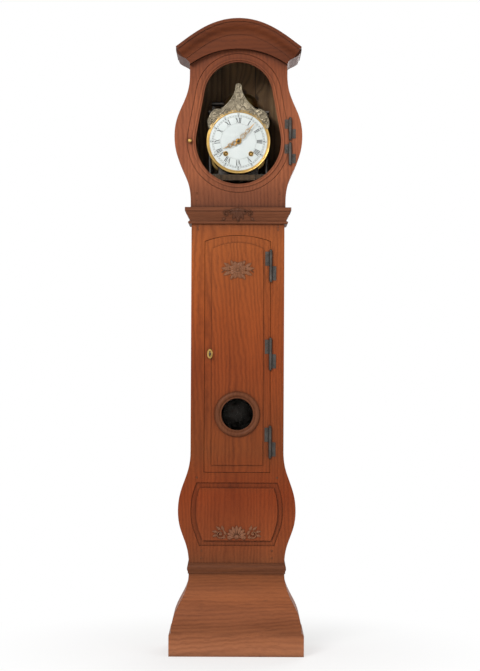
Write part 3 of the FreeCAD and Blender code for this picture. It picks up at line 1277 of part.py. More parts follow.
def build():
    nodes = {}
    front, left, right = base_boards()
    nodes["base_front"] = front
    nodes["base_side_left"] = left
    nodes["base_side_right"] = right
    nodes["base_floor"] = base_floor()
    nodes["backboard"] = backboard()
    nodes["trunk_side_left"] = mirror_x(trunk_side())
    nodes["trunk_side_right"] = trunk_side()
    nodes["trunk_front_frame"] = trunk_front_frame()
    nodes["belly_panel"] = belly_panel()
    nodes["belly_carving"] = shell_carving(0, PANEL_LOW_Z + 1.5 * PANEL_FIELD_INSET, DOOR_FACE_Y, SHELL_REACH)
    nodes["waist_moulding"] = waist_moulding()
    nodes["collar_moulding"] = collar_moulding()
    nodes["hood_side_left"] = mirror_x(hood_side())
    nodes["hood_side_right"] = hood_side()
    nodes["hood_front_frame"] = hood_front_frame()
    nodes["hood_roof"] = hood_roof()
    nodes["crown_front"] = crown_front()
    nodes["crown_returns"] = crown_returns()
    nodes["case_hinge_leaves"] = case_hinge_leaves()
    nodes["trunk_door"] = trunk_door()
    nodes["door_carving"] = rosette_carving(0, ROSETTE_Z, DOOR_FACE_Y, ROSETTE_R)
    nodes["lens_ring"] = lens_ring()
    nodes["lens_glass"] = lens_glass()
    nodes["trunk_door_hinge_leaves"] = trunk_door_hinge_leaves()
    nodes["door_lock"] = door_lock()
    nodes["key_escutcheon"] = key_escutcheon()
    nodes["door_bolt"] = door_bolt()
    nodes["door_key"] = door_key()
    nodes["hood_door_frame"] = hood_door_frame()
    nodes["hood_glass"] = hood_glass()
    nodes["hood_door_hinge_leaves"] = hood_door_hinge_leaves()
    nodes["hood_catch"] = hood_catch()
    nodes["seat_board"] = Part.makeCompound([seat_board()] + seat_bearers())
    nodes["movement_bottom_plate"] = movement_bottom_plate()
    nodes["movement_top_plate"] = movement_top_plate()
    nodes["movement_pillars"] = movement_pillars()
    nodes["pivot_bars"] = pivot_bars()
    nodes["going_barrel"] = barrel(1, GOING_Y, 0, DIAL_Z)
    nodes["centre_wheel"] = centre_wheel()
    nodes["escape_wheel"] = escape_wheel()
    nodes["anchor"] = anchor()
    nodes["pendulum_rod"] = pendulum_rod()
    nodes["pendulum_bob"] = pendulum_bob()
    nodes["minute_wheel"] = minute_wheel()
    nodes["minute_hand"] = minute_hand()
    nodes["hour_wheel"] = hour_wheel()
    nodes["hour_hand"] = hour_hand()
    nodes["strike_barrel"] = barrel(-1, STRIKE_Y, -PIN_X, PIN_Z)
    nodes["pin_wheel"] = pin_wheel()
    nodes["fly"] = fly()
    nodes["hammer"] = hammer()
    nodes["bell"] = bell()
    nodes["bell_stand"] = bell_stand()
    nodes["dial_plate"] = dial_plate()
    nodes["enamel_dial"] = enamel_dial()
    nodes["dial_fronton"] = dial_fronton()
    nodes["going_weight"] = weight(1)
    nodes["strike_weight"] = weight(-1)
    nodes["going_cord"] = cord(1)
    nodes["strike_cord"] = cord(-1)
    return nodes


def main():
    os.makedirs(OUT, exist_ok=True)
    for name, shape in build().items():
        shape.exportStep(os.path.join(OUT, name + ".step"))
        print(name, len(shape.Solids), "solids", round(shape.Volume / 1000.0, 1), "cm3", shape.isValid())


main()
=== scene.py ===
"""Looks of the longcase clock: materials, dial work, carvings, hands, cords, light and camera.

Shapes are in millimetres until their mesh is made. Materials, lamps and the camera are in metres.
"""
import bpy
import json
import numpy as np
import random
from math import cos, hypot, pi, radians, sin, sqrt, tau
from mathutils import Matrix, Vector

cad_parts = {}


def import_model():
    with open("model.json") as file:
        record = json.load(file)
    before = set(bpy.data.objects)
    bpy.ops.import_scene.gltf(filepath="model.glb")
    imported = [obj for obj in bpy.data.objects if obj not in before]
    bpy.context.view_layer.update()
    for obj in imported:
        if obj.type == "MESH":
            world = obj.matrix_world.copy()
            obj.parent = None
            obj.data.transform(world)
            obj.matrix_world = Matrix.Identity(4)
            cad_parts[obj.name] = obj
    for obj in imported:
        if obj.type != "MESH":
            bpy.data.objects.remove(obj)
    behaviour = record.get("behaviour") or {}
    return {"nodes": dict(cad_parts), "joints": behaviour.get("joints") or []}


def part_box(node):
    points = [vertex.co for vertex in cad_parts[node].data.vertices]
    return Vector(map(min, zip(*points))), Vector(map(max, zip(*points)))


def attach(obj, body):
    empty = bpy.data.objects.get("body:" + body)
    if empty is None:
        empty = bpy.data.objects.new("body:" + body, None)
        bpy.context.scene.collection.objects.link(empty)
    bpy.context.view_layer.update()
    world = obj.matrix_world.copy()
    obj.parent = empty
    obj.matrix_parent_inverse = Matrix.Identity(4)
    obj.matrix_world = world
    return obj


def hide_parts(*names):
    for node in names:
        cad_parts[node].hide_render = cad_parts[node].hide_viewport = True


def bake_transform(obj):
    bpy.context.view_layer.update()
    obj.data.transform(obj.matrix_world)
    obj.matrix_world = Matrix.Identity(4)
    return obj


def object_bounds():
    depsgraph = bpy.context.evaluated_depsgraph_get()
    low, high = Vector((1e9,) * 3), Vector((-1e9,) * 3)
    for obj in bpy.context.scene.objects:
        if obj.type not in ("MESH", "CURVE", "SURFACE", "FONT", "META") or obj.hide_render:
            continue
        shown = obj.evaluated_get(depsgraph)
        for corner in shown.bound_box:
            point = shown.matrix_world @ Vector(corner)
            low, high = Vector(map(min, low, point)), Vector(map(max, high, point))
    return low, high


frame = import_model()
cad_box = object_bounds()
random.seed(11)

MM = 1000.0
X, Y, Z = 0, 1, 2
LOW, MIDDLE, HIGH = 0.0, 0.5, 1.0


def place_of(node, axis, share):
    """Where a solid begins, has its middle or ends along an axis, in millimetres."""
    low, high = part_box(node)
    return round((low[axis] + (high[axis] - low[axis]) * share) * MM, 2)


def pivot_of(joint, axis):
    """Where a joint turns, along an axis, in millimetres."""
    place = next(each["pos_m"] for each in frame["joints"] if each["name"] == joint)
    return round(place[axis] * MM, 2)


# The dial, its pediment and the time it shows
DIAL_Z = pivot_of("minute_arbor_spin", Z)
DIAL_R = place_of("enamel_dial", Z, HIGH) - DIAL_Z
DIAL_RISE = 6.0
DIAL_RIM = 2.0
DIAL_BALL = (DIAL_R ** 2 + DIAL_RISE ** 2) / (2 * DIAL_RISE)
PLATE_FACE_Y = place_of("dial_plate", Y, LOW)
DIAL_FRONT_Y = PLATE_FACE_Y - DIAL_RIM - DIAL_RISE
ARBOR_END_Y = place_of("centre_wheel", Y, LOW)
FRONTON_FACE_Y = place_of("dial_fronton", Y, LOW)
FRONTON_Z = place_of("dial_fronton", Z, HIGH)
FRONTON_H = FRONTON_Z - DIAL_Z - DIAL_R
FRONTON_R = DIAL_R + 2.0
FRONTON_LOW_Z = DIAL_Z + FRONTON_R
FRONTON_FOOT = radians(24)
HOURS, MINUTES = 8, 7
MINUTE_ANGLE = 6 * MINUTES
HOUR_ANGLE = 30 * HOURS + MINUTES / 2

# The drums and their cords
BARREL_X = pivot_of("going_barrel_spin", X)
BARREL_Z = pivot_of("going_barrel_spin", Z)
DRUM_R = 26.0
CORD_R = 2.0
CORD_PITCH = 13.0
CORD_X = place_of("going_cord", X, MIDDLE)
CORD_Y = place_of("going_cord", Y, MIDDLE)
CORD_LOW_Z = place_of("going_cord", Z, LOW)

# The case
TRUNK_FACE_Y = place_of("trunk_front_frame", Y, LOW)
DOOR_FACE_Y = place_of("trunk_door", Y, LOW)
HOOD_FACE_Y = place_of("hood_front_frame", Y, LOW)
BACK_Y = place_of("backboard", Y, HIGH)
ROSETTE_Z = place_of("door_carving", Z, MIDDLE)
SHELL_Z = place_of("belly_carving", Z, HIGH) - 42.0
COLLAR_LOW_Z = place_of("collar_moulding", Z, LOW)
COLLAR_H = place_of("collar_moulding", Z, HIGH) - COLLAR_LOW_Z
COLLAR_OUT = TRUNK_FACE_Y - place_of("collar_moulding", Y, LOW)
TRUNK_HINGE_X = pivot_of("trunk_door_swing", X)
TRUNK_HINGE_INSET = 110.0
TRUNK_HINGE_Z = (place_of("trunk_door", Z, LOW) + TRUNK_HINGE_INSET, place_of("trunk_door", Z, MIDDLE),
                 place_of("trunk_door", Z, HIGH) - TRUNK_HINGE_INSET)
HOOD_HINGE_X = pivot_of("hood_door_swing", X)
HOOD_HINGE_HALF = 45.0
HOOD_HINGE_Z = (pivot_of("catch_turn", Z) - HOOD_HINGE_HALF, pivot_of("catch_turn", Z) + HOOD_HINGE_HALF)


# Colours and node trees
WHITE = (1, 1, 1, 1)


def linear(red, green, blue):
    """A screen colour from 0 to 255 as scene-linear values."""
    def one(value):
        share = value / 255.0
        return share / 12.92 if share <= 0.04045 else ((share + 0.055) / 1.055) ** 2.4
    return (one(red), one(green), one(blue), 1.0)


def stops(*rows):
    """Stops of a colour ramp, each from its share and a screen colour."""
    return [(share, linear(*colour)) for share, *colour in rows]


class Nodes:
    """A node tree and short names for the nodes that it is made of."""

    def __init__(self, tree):
        self.nodes = tree.nodes
        self.links = tree.links

    def add(self, kind, *values, output=0, **named):
        """An output of a new node.

        Values feed the node's first sockets; capitalised names are sockets, others settings.
        """
        node = self.nodes.new("ShaderNode" + kind)
        sockets = dict(enumerate(values))
        for name, value in named.items():
            if name[0].isupper():
                sockets[name.replace("_", " ")] = value
            else:
                setattr(node, name, value)
        for name, value in sockets.items():
            self.feed(node.inputs[name], value)
        return node.outputs[output]

    def feed(self, socket, value):
        """Links a socket to another one, or sets it to a constant."""
        if isinstance(value, bpy.types.NodeSocket):
            self.links.new(value, socket)
        else:
            socket.default_value = value

    def maths(self, operation, *values):
        return self.add("Math", *values, operation=operation)

    def vector(self, operation, *values, output="Vector"):
        return self.add("VectorMath", *values, operation=operation, output=output)

    def times(self, first, second):
        return self.maths("MULTIPLY", first, second)

    def seen_directly(self):
        """One where the camera, a reflection or clear glass looks at the surface, nought for its light."""
        rays = self.add("LightPath").node.outputs
        share = rays["Is Camera Ray"]
        for name in ("Is Glossy Ray", "Is Transmission Ray"):
            share = self.maths("MAXIMUM", share, rays[name])
        return share

    def show(self, output, share, lit, white):
        """Sends a share of a white shader to the output, and the lit one for the rest."""
        self.feed(self.nodes[output].inputs["Surface"], self.add("MixShader", share, lit, white))


class Surface(Nodes):
    """One material, with its shader and the textures that feed it."""

    def __init__(self, name):
        self.material = bpy.data.materials.new(name)
        self.material.use_nodes = True
        super().__init__(self.material.node_tree)
        self.shader = self.nodes["Principled BSDF"]
        coordinates = self.add("TexCoord").node.outputs
        self.place = coordinates["Object"]
        self.normal = coordinates["Normal"]

    def set(self, **values):
        """Feeds the shader's own sockets, with underscores for spaces."""
        for name, value in values.items():
            self.feed(self.shader.inputs[name.replace("_", " ")], value)

    def moved(self, vector, scale=(1, 1, 1), offset=(0, 0, 0), turn=(0, 0, 0)):
        return self.add("Mapping", Vector=vector, Scale=scale, Location=offset, Rotation=turn)

    def noise(self, scale, detail, roughness=0.55, vector=None):
        return self.add("TexNoise", vector or self.place, Scale=scale, Detail=detail, Roughness=roughness)

    def drawn(self, scale, detail, vector=None, offset=(0, 0, 0)):
        """Noise with its own scale along each axis."""
        return self.noise(1.0, detail, vector=self.moved(vector or self.place, scale, offset))

    def span(self, value, low, high, to_low=0.0, to_high=1.0, **settings):
        """Maps low..high of a value to to_low..to_high, and holds it there."""
        return self.add("MapRange", value, low, high, to_low, to_high, **settings)

    def waves(self, vector, scale, distortion, fine_scale, fine_roughness, **settings):
        return self.add("TexWave", vector, scale, distortion, Detail=3.0, Detail_Scale=fine_scale,
                        Detail_Roughness=fine_roughness, output="Fac", **settings)

    def weighted(self, *parts):
        """The sum of values, each times its weight."""
        total = self.times(*parts[0])
        for part in parts[1:]:
            total = self.maths("ADD", total, self.times(*part))
        return total

    def ramp(self, value, colours):
        result = self.add("ValToRGB", value)
        elements = result.node.color_ramp.elements
        while len(elements) < len(colours):
            elements.new(0.5)
        for element, (position, colour) in zip(elements, colours):
            element.position = position
            element.color = colour
        return result

    def mix(self, share, first, second, blend="MIX"):
        result = self.add("Mix", share, data_type="RGBA", blend_type=blend, output=2)
        self.feed(result.node.inputs[6], first)
        self.feed(result.node.inputs[7], second)
        return result

    def tinted(self, colour, tint, share=1.0):
        """A colour times a tint."""
        return self.mix(share, colour, tint, "MULTIPLY")

    def rounded(self, radius):
        """The surface's normal with its edges eased, and how sharp an edge is there."""
        eased = self.add("Bevel", radius, samples=4)
        flat = self.add("NewGeometry", output="Normal")
        return eased, self.span(self.vector("DOT_PRODUCT", eased, flat, output="Value"), 0.995, 0.86)

    def corners(self, distance):
        """How deep in a corner or hollow a point lies."""
        open_share = self.add("AmbientOcclusion", Distance=distance, samples=6, output="AO")
        return self.span(open_share, 0.35, 0.95, 1.0, 0.0)

    def dirtied(self, colour, distance, share, dirt_and_shade):
        """A colour darkened towards a dark tint in corners and hollows found by ambient occlusion: painted
        shade, with some grime.
        """
        return self.mix(self.times(self.corners(distance), share), colour, dirt_and_shade)

    def inner_side(self):
        """One on faces turned towards the clock's upright middle line, which the caller darkens as painted
        shade of the case's inside.
        """
        outward = self.vector("SUBTRACT", self.place, (0.0, 0.03, 0.0))
        level = self.vector("MULTIPLY", outward, (1.0, 1.0, 0.0))
        facing = self.vector("DOT_PRODUCT", level, self.normal, output="Value")
        return self.span(facing, -0.002, -0.02)

    def bump(self, height, strength, distance, normal=None):
        result = self.add("Bump", strength, distance, Height=height)
        if normal:
            self.feed(result.node.inputs["Normal"], normal)
        return result


# Kinds of material

def wood(name, tones, grain="Z", shift=0.0, depth=1.0, wax=0.04):
    """Waxed timber with growth rings, fibre, pores and rubbed edges, and painted shade with some grime in
    its corners and on its inward faces.

    tones gives the colour at shares of the clock's height, from the floor up.
    """
    made = Surface(name)

    def laid(x, y, z):
        """Three values for upright grain, turned round for grain along X."""
        return (x, y, z) if grain == "Z" else (z, y, x)

    wander = made.moved(made.place, laid(5.0, 5.0, 0.9), (shift, 2.1 * shift, shift))
    drift = made.add("TexNoise", wander, Scale=1.0, Detail=2.0, output="Color")
    centred = made.vector("SUBTRACT", drift, (0.5, 0.5, 0.5))
    bent = made.vector("MULTIPLY_ADD", centred, (0.11, 0.11, 0.11), made.place)
    heart = made.moved(bent, offset=(0.021 + 0.05 * shift, 0.075, 0.03 * shift), turn=laid(0.05, 0.02, 0.0))
    rings = made.waves(heart, 24.0, 3.2, 1.3, 0.6, wave_type="RINGS", rings_direction=grain)
    streaks = made.drawn(laid(88, 88, 1.9), 4.0, bent)
    bands = made.drawn(laid(21, 21, 0.6), 3.0, bent)
    fibre = made.drawn(laid(520, 520, 9), 3.0)
    pores = made.span(made.drawn(laid(1300, 1300, 34), 1.0), 0.60, 0.72)
    flecks = made.span(made.drawn(laid(310, 310, 13), 1.0, bent), 0.66, 0.76)
    patches = made.drawn(laid(7, 7, 2.2), 4.0, offset=(shift, 0, shift))
    calm = made.span(made.drawn(laid(4, 4, 1.1), 2.0, offset=(0, shift, shift)), 0.35, 0.65, 0.08, 0.26)
    height = made.add("SeparateXYZ", made.place, output="Z")
    tone = made.ramp(made.span(height, 0.0, cad_box[1][Z]), tones)
    figure = made.weighted((rings, calm), (fibre, 0.27), (streaks, 0.30), (bands, 0.27))
    low, high = 1.0 - 0.34 * depth, 1.0 + 0.18 * depth
    shade = made.ramp(made.span(figure, 0.26, 0.70), [
        (0.0, (low, low * 0.93, low * 0.88, 1)), (0.55, WHITE), (1.0, (high, high, high * 0.96, 1))])
    blotch = made.ramp(made.span(patches, 0.25, 0.75), [
        (0.0, (0.72, 0.66, 0.60, 1)), (0.5, WHITE), (1.0, (1.16, 1.14, 1.06, 1))])
    colour = made.tinted(made.tinted(tone, shade), blotch, 0.8)
    marks = made.maths("MAXIMUM", made.times(pores, 0.35), made.times(flecks, 0.4))
    colour = made.mix(marks, colour, (0.035, 0.012, 0.006, 1))
    eased, edge = made.rounded(0.0022)
    rub = made.times(edge, made.span(patches, 0.38, 0.68, 0.1, 0.75))
    colour = made.mix(rub, colour, made.tinted(tone, (1.75, 1.75, 1.6, 1)))
    # Painted shade: corners and hollows go nearly black, with some grime.
    colour = made.dirtied(colour, 0.03, 0.62, (0.018, 0.009, 0.005, 1))
    # Painted shade: faces turned inward are darkened to about a third, as the inside of the case lies in
    # shade.
    colour = made.mix(made.inner_side(), colour, made.tinted(colour, (0.34, 0.32, 0.30, 1)))
    rough = made.weighted((made.span(patches, 0.2, 0.8, 0.40, 0.54), 1.0), (fibre, 0.12))
    relief = made.weighted((fibre, 1.0), (pores, -0.8), (rings, 0.5))
    made.set(Base_Color=colour, Roughness=rough, Specular_IOR_Level=0.11, Coat_Weight=wax,
             Coat_Roughness=0.3, Normal=made.bump(relief, 0.22, 0.0007, eased))
    return made.material


def bare_boards():
    """Unfinished softwood boards with knots, darkened by age, with open joints between planks."""
    made = Surface("aged_pine")
    plank = 0.125
    aside = made.add("SeparateXYZ", made.place, output="X")
    index = made.maths("ADD", made.maths("DIVIDE", aside, plank), 0.5)
    from_middle = made.maths("ABSOLUTE", made.maths("SUBTRACT", made.maths("FRACT", index), 0.5))
    joint = made.span(from_middle, 0.488, 0.496)
    board = made.maths("FLOOR", index)
    each = made.add("TexWhiteNoise", W=board, noise_dimensions="1D")
    step = made.add("CombineXYZ", each, each, made.times(each, 3.0))
    place = made.vector("ADD", made.place, step)
    flat = made.moved(place, (5, 1, 3), turn=(-pi / 2, 0, 0))
    from_knot = made.add("TexVoronoi", flat, Scale=1.0, Randomness=0.55, voronoi_dimensions="2D")
    chance = made.span(from_knot.node.outputs["Color"], 0.42, 0.46)
    pull = made.maths("POWER", made.span(from_knot, 0.0, 0.34, 0.21, 0.0), 2.0)
    swirl = made.add("CombineXYZ", made.times(pull, chance))
    bent = made.vector("ADD", place, swirl)
    rings = made.waves(made.moved(bent, (1, 1, 0.06)), 15.0, 13.0, 0.8, 0.55, bands_direction="X")
    knot = made.times(made.span(from_knot, 0.028, 0.062, 1.0, 0.0), chance)
    saw = made.drawn((90, 90, 900), 2.0)
    fibre = made.drawn((480, 480, 11), 3.0)
    stain = made.drawn((6, 6, 2), 5.0)
    shade = made.ramp(made.weighted((rings, 0.5), (fibre, 0.5)), [
        (0.1, (0.55, 0.5, 0.46, 1)), (0.6, WHITE), (1.0, (1.25, 1.2, 1.1, 1))])
    vary = made.ramp(each, [(0.0, (0.75, 0.73, 0.7, 1)), (1.0, (1.12, 1.1, 1.05, 1))])
    colour = made.tinted(made.tinted(linear(130, 103, 74), shade), vary)
    colour = made.mix(made.times(knot, 0.85), colour, (0.022, 0.012, 0.007, 1))
    colour = made.mix(made.span(stain, 0.5, 0.78, 0.0, 0.7), colour, (0.03, 0.022, 0.015, 1))
    # Painted shade in the corners and hollows of the boards, with some grime.
    colour = made.dirtied(colour, 0.05, 0.7, (0.012, 0.009, 0.006, 1))
    colour = made.mix(joint, colour, (0.006, 0.004, 0.003, 1))
    relief = made.weighted((saw, 0.5), (fibre, 1.0), (joint, -4.0))
    made.set(Base_Color=colour, Roughness=made.span(fibre, 0.2, 0.8, 0.7, 0.88), Specular_IOR_Level=0.25,
             Normal=made.bump(relief, 0.4, 0.001))
    return made.material


def metal(name, bright, tarnish, rough, grain=260.0, dents=0.25, tarnish_share=0.5, metallic=1.0, rust=0.0):
    """A worked metal: tarnish in hollows and patches, rubbed edges, fine tooling in its bump."""
    made = Surface(name)
    cloud = made.noise(34.0, 5.0, 0.62)
    speck = made.noise(grain * 3.0, 2.0)
    tool = made.drawn((grain, grain, grain * 0.35), 3.0)
    age = made.span(made.weighted((cloud, 1.0), (speck, 0.25)), 0.5, 0.85, 0.0, tarnish_share)
    age = made.maths("MAXIMUM", age, made.times(made.corners(0.008), 0.75))
    eased, edge = made.rounded(0.0008)
    rubbed = tuple(min(1.0, 1.5 * value) for value in bright)
    colour = made.mix(made.times(edge, 0.5), made.mix(age, bright, tarnish), rubbed)
    if rust:
        spots = made.span(made.noise(75.0, 6.0, 0.7), 0.56, 0.7, 0.0, rust)
        colour = made.mix(spots, colour, linear(92, 50, 28))
    made.set(Base_Color=colour, Metallic=metallic,
             Roughness=made.span(made.maths("ADD", age, tool), 0.2, 1.4, *rough),
             Normal=made.bump(made.weighted((tool, 1.0), (cloud, 1.5)), dents, 0.0006, eased))
    return made.material


def enamel():
    """Fired white enamel with fine crazing, and painted shade with a little grime near the holes and the
    rim.
    """
    made = Surface("white_enamel")
    to_crack = made.add("TexVoronoi", made.place, Scale=46.0, feature="DISTANCE_TO_EDGE")
    web = made.span(to_crack, 0.0, 0.022, 1.0, 0.0)
    where = made.span(made.noise(13.0, 3.0), 0.5, 0.68)
    crack = made.times(made.times(web, where), 0.4)
    tint = made.ramp(made.noise(16.0, 4.0), stops((0.25, 202, 209, 207), (0.75, 214, 219, 217)))
    colour = made.mix(crack, tint, (0.20, 0.17, 0.13, 1))
    # Painted shade with a little grime where the enamel meets the holes and the rim.
    colour = made.dirtied(colour, 0.006, 0.5, (0.25, 0.2, 0.14, 1))
    waves = made.noise(42.0, 2.0)
    made.set(Base_Color=colour, Roughness=made.span(waves, 0.2, 0.8, 0.2, 0.3), Specular_IOR_Level=0.3,
             Coat_Weight=0.06, Coat_Roughness=0.08,
             Normal=made.bump(made.maths("SUBTRACT", waves, crack), 0.05, 0.001))
    return made.material


def black_paint():
    """Fired black of the dial's figures, a little thin in places."""
    made = Surface("fired_black")
    thin = made.span(made.noise(420.0, 3.0), 0.55, 0.8, 0.0, 0.35)
    colour = made.mix(thin, (0.008, 0.008, 0.010, 1), (0.09, 0.09, 0.10, 1))
    made.set(Base_Color=colour, Roughness=made.span(thin, 0.0, 0.4, 0.22, 0.4),
             Normal=made.bump(thin, 0.1, 0.0003))
    return made.material


def glass():
    """Old thin glass: clear face on, glossier at a glancing angle, with faint waves and a little dust."""
    made = Surface("old_glass")
    waves = made.drawn((9, 9, 3.5), 2.0)
    dust = made.span(made.noise(60.0, 5.0, 0.7), 0.5, 0.9, 0.0, 0.012)
    slant = made.add("LayerWeight", 0.5, output="Facing")
    glance = made.span(made.maths("POWER", slant, 5.0), 0.0, 1.0, 0.006, 0.9)
    made.set(Base_Color=linear(26, 32, 27), Roughness=made.span(waves, 0.2, 0.8, 0.02, 0.06), IOR=1.5,
             Alpha=made.maths("ADD", glance, dust), Normal=made.bump(waves, 0.04, 0.004))
    return made.material


def hemp():
    """Laid hemp: fibres along the strands, grease and dust, and painted shade between the strands."""
    made = Surface("laid_hemp")
    fuzz = made.drawn((1500, 1500, 420), 3.0)
    patch = made.noise(55.0, 4.0)
    greasy = made.weighted((fuzz, 0.6), (patch, 0.4))
    colour = made.ramp(greasy, stops((0.25, 70, 54, 36), (0.75, 158, 132, 95)))
    # Painted shade between the strands, with some grime.
    colour = made.dirtied(colour, 0.003, 0.7, (0.03, 0.02, 0.012, 1))
    made.set(Base_Color=colour, Roughness=made.span(fuzz, 0.2, 0.8, 0.8, 0.95), Sheen_Weight=0.3,
             Normal=made.bump(fuzz, 0.5, 0.0006))
    return made.material


# Materials in use
# The darker stops at 0.044 (the plinth's step), 0.136 (round the waist moulding) and 0.68 (the top of the
# trunk under the collar) are painted shade.
TONES = stops((0.0, 160, 104, 74), (0.022, 147, 91, 61), (0.044, 126, 74, 46), (0.064, 134, 77, 46),
              (0.09, 139, 79, 45), (0.136, 106, 59, 33), (0.18, 123, 60, 29), (0.25, 123, 52, 19),
              (0.32, 115, 57, 25), (0.45, 122, 55, 21), (0.53, 133, 63, 25), (0.645, 140, 73, 33),
              (0.68, 123, 65, 33))
# The darker stops at 0.70 and 0.727, at the foot of the hood above the collar, are painted shade.
HOOD_TONES = stops((0.70, 98, 55, 36), (0.727, 110, 62, 40), (0.755, 133, 76, 49), (0.80, 142, 80, 53),
                   (0.87, 138, 78, 50), (0.93, 112, 58, 34))
# The darker stop at 0.14, on the waist moulding, is painted shade.
DARK_TONES = stops((0.14, 94, 53, 31), (0.7, 107, 62, 39), (0.9, 92, 45, 22))
# The darker stop at 0.66, on the collar's carved leaf, is a painted shadow under the hood.
CARVED_TONES = stops((0.18, 122, 79, 56), (0.61, 126, 82, 56), (0.66, 94, 57, 38))

DARK_RING = wood("dark_cherry_ring", DARK_TONES, shift=5.1, depth=0.8)
CARVED = wood("carved_cherry", CARVED_TONES, shift=4.4, depth=0.7, wax=0.12)
IRON = metal("forged_iron", linear(82, 78, 74), linear(34, 30, 28), (0.42, 0.72), dents=0.4, rust=0.45)
BRASS = metal("aged_brass", linear(192, 156, 90), linear(74, 54, 28), (0.24, 0.5))
STAMPED = metal("stamped_brass", linear(133, 123, 104), linear(38, 34, 27), (0.3, 0.5), grain=420.0,
                tarnish_share=0.45)
GILT = metal("gilt_brass", linear(176, 132, 62), linear(58, 40, 20), (0.28, 0.48), grain=500.0)
BLACK = black_paint()
HEMP = hemp()

NODE_LOOKS = {
    wood("waxed_cherry", TONES): "trunk_front_frame belly_panel",
    wood("waxed_cherry_door", TONES, shift=1.7, depth=1.15): "trunk_door",
    wood("waxed_cherry_side", TONES, shift=3.9, depth=0.9): "trunk_side_left trunk_side_right",
    wood("waxed_cherry_hood", HOOD_TONES, shift=6.3): "hood_front_frame",
    wood("waxed_cherry_hood_door", HOOD_TONES, shift=7.7, depth=1.1): "hood_door_frame",
    wood("waxed_cherry_hood_side", HOOD_TONES, shift=2.9, depth=0.9): "hood_side_left hood_side_right",
    wood("waxed_cherry_base", TONES, grain="X", shift=0.6): "base_front base_side_left base_side_right",
    wood("dark_cherry_crown", DARK_TONES, grain="X", shift=2.2, depth=0.9):
        "crown_front crown_returns hood_roof collar_moulding waist_moulding",
    DARK_RING: "lens_ring",
    CARVED: "belly_carving door_carving",
    bare_boards(): "backboard base_floor seat_board",
    IRON: "case_hinge_leaves trunk_door_hinge_leaves hood_door_hinge_leaves door_lock door_bolt door_key "
          "movement_bottom_plate movement_top_plate movement_pillars pivot_bars anchor pendulum_rod "
          "pendulum_bob hammer bell_stand dial_plate",
    metal("cast_iron", linear(58, 57, 57), linear(22, 21, 20), (0.6, 0.85), grain=420.0, dents=0.6,
          metallic=0.7, rust=0.3): "going_weight strike_weight",
    BRASS: "key_escutcheon going_barrel centre_wheel escape_wheel minute_wheel hour_wheel strike_barrel "
           "pin_wheel fly bell hood_catch",
    STAMPED: "dial_fronton",
    GILT: "minute_hand hour_hand",
    glass(): "lens_glass hood_glass",
    enamel(): "enamel_dial",
    HEMP: "going_cord strike_cord",
}
for look, names in NODE_LOOKS.items():
    for node_name in names.split():
        slots = frame["nodes"][node_name].data.materials
        slots.clear()
        slots.append(look)


# Mesh building

def linked(name, data):
    """A new object in the scene."""
    holder = bpy.data.objects.new(name, data)
    bpy.context.scene.collection.objects.link(holder)
    return holder


def direction(degrees):
    """Cosine and sine of an angle."""
    return cos(radians(degrees)), sin(radians(degrees))


def round_turn(count):
    """So many even angles round a circle."""
    return [tau * k / count for k in range(count)]


def across(path):
    """Two directions square to a path of vectors at each of its points, carried along without twist."""
    side = None
    for i in range(len(path)):
        along = (path[min(i + 1, len(path) - 1)] - path[max(i - 1, 0)]).normalized()
        if side is None:
            side = along.orthogonal().normalized()
        side = (side - along * side.dot(along)).normalized()
        yield side, along.cross(side)


def curve_points(poles, steps=24):
    """Points of a cubic curve with four poles."""
    result = []
    for i in range(steps + 1):
        t = i / steps
        s = 1 - t
        weights = (s ** 3, 3 * s * s * t, 3 * s * t * t, t ** 3)
        result.append(tuple(sum(w * p[k] for w, p in zip(weights, poles)) for k in range(2)))
    return result


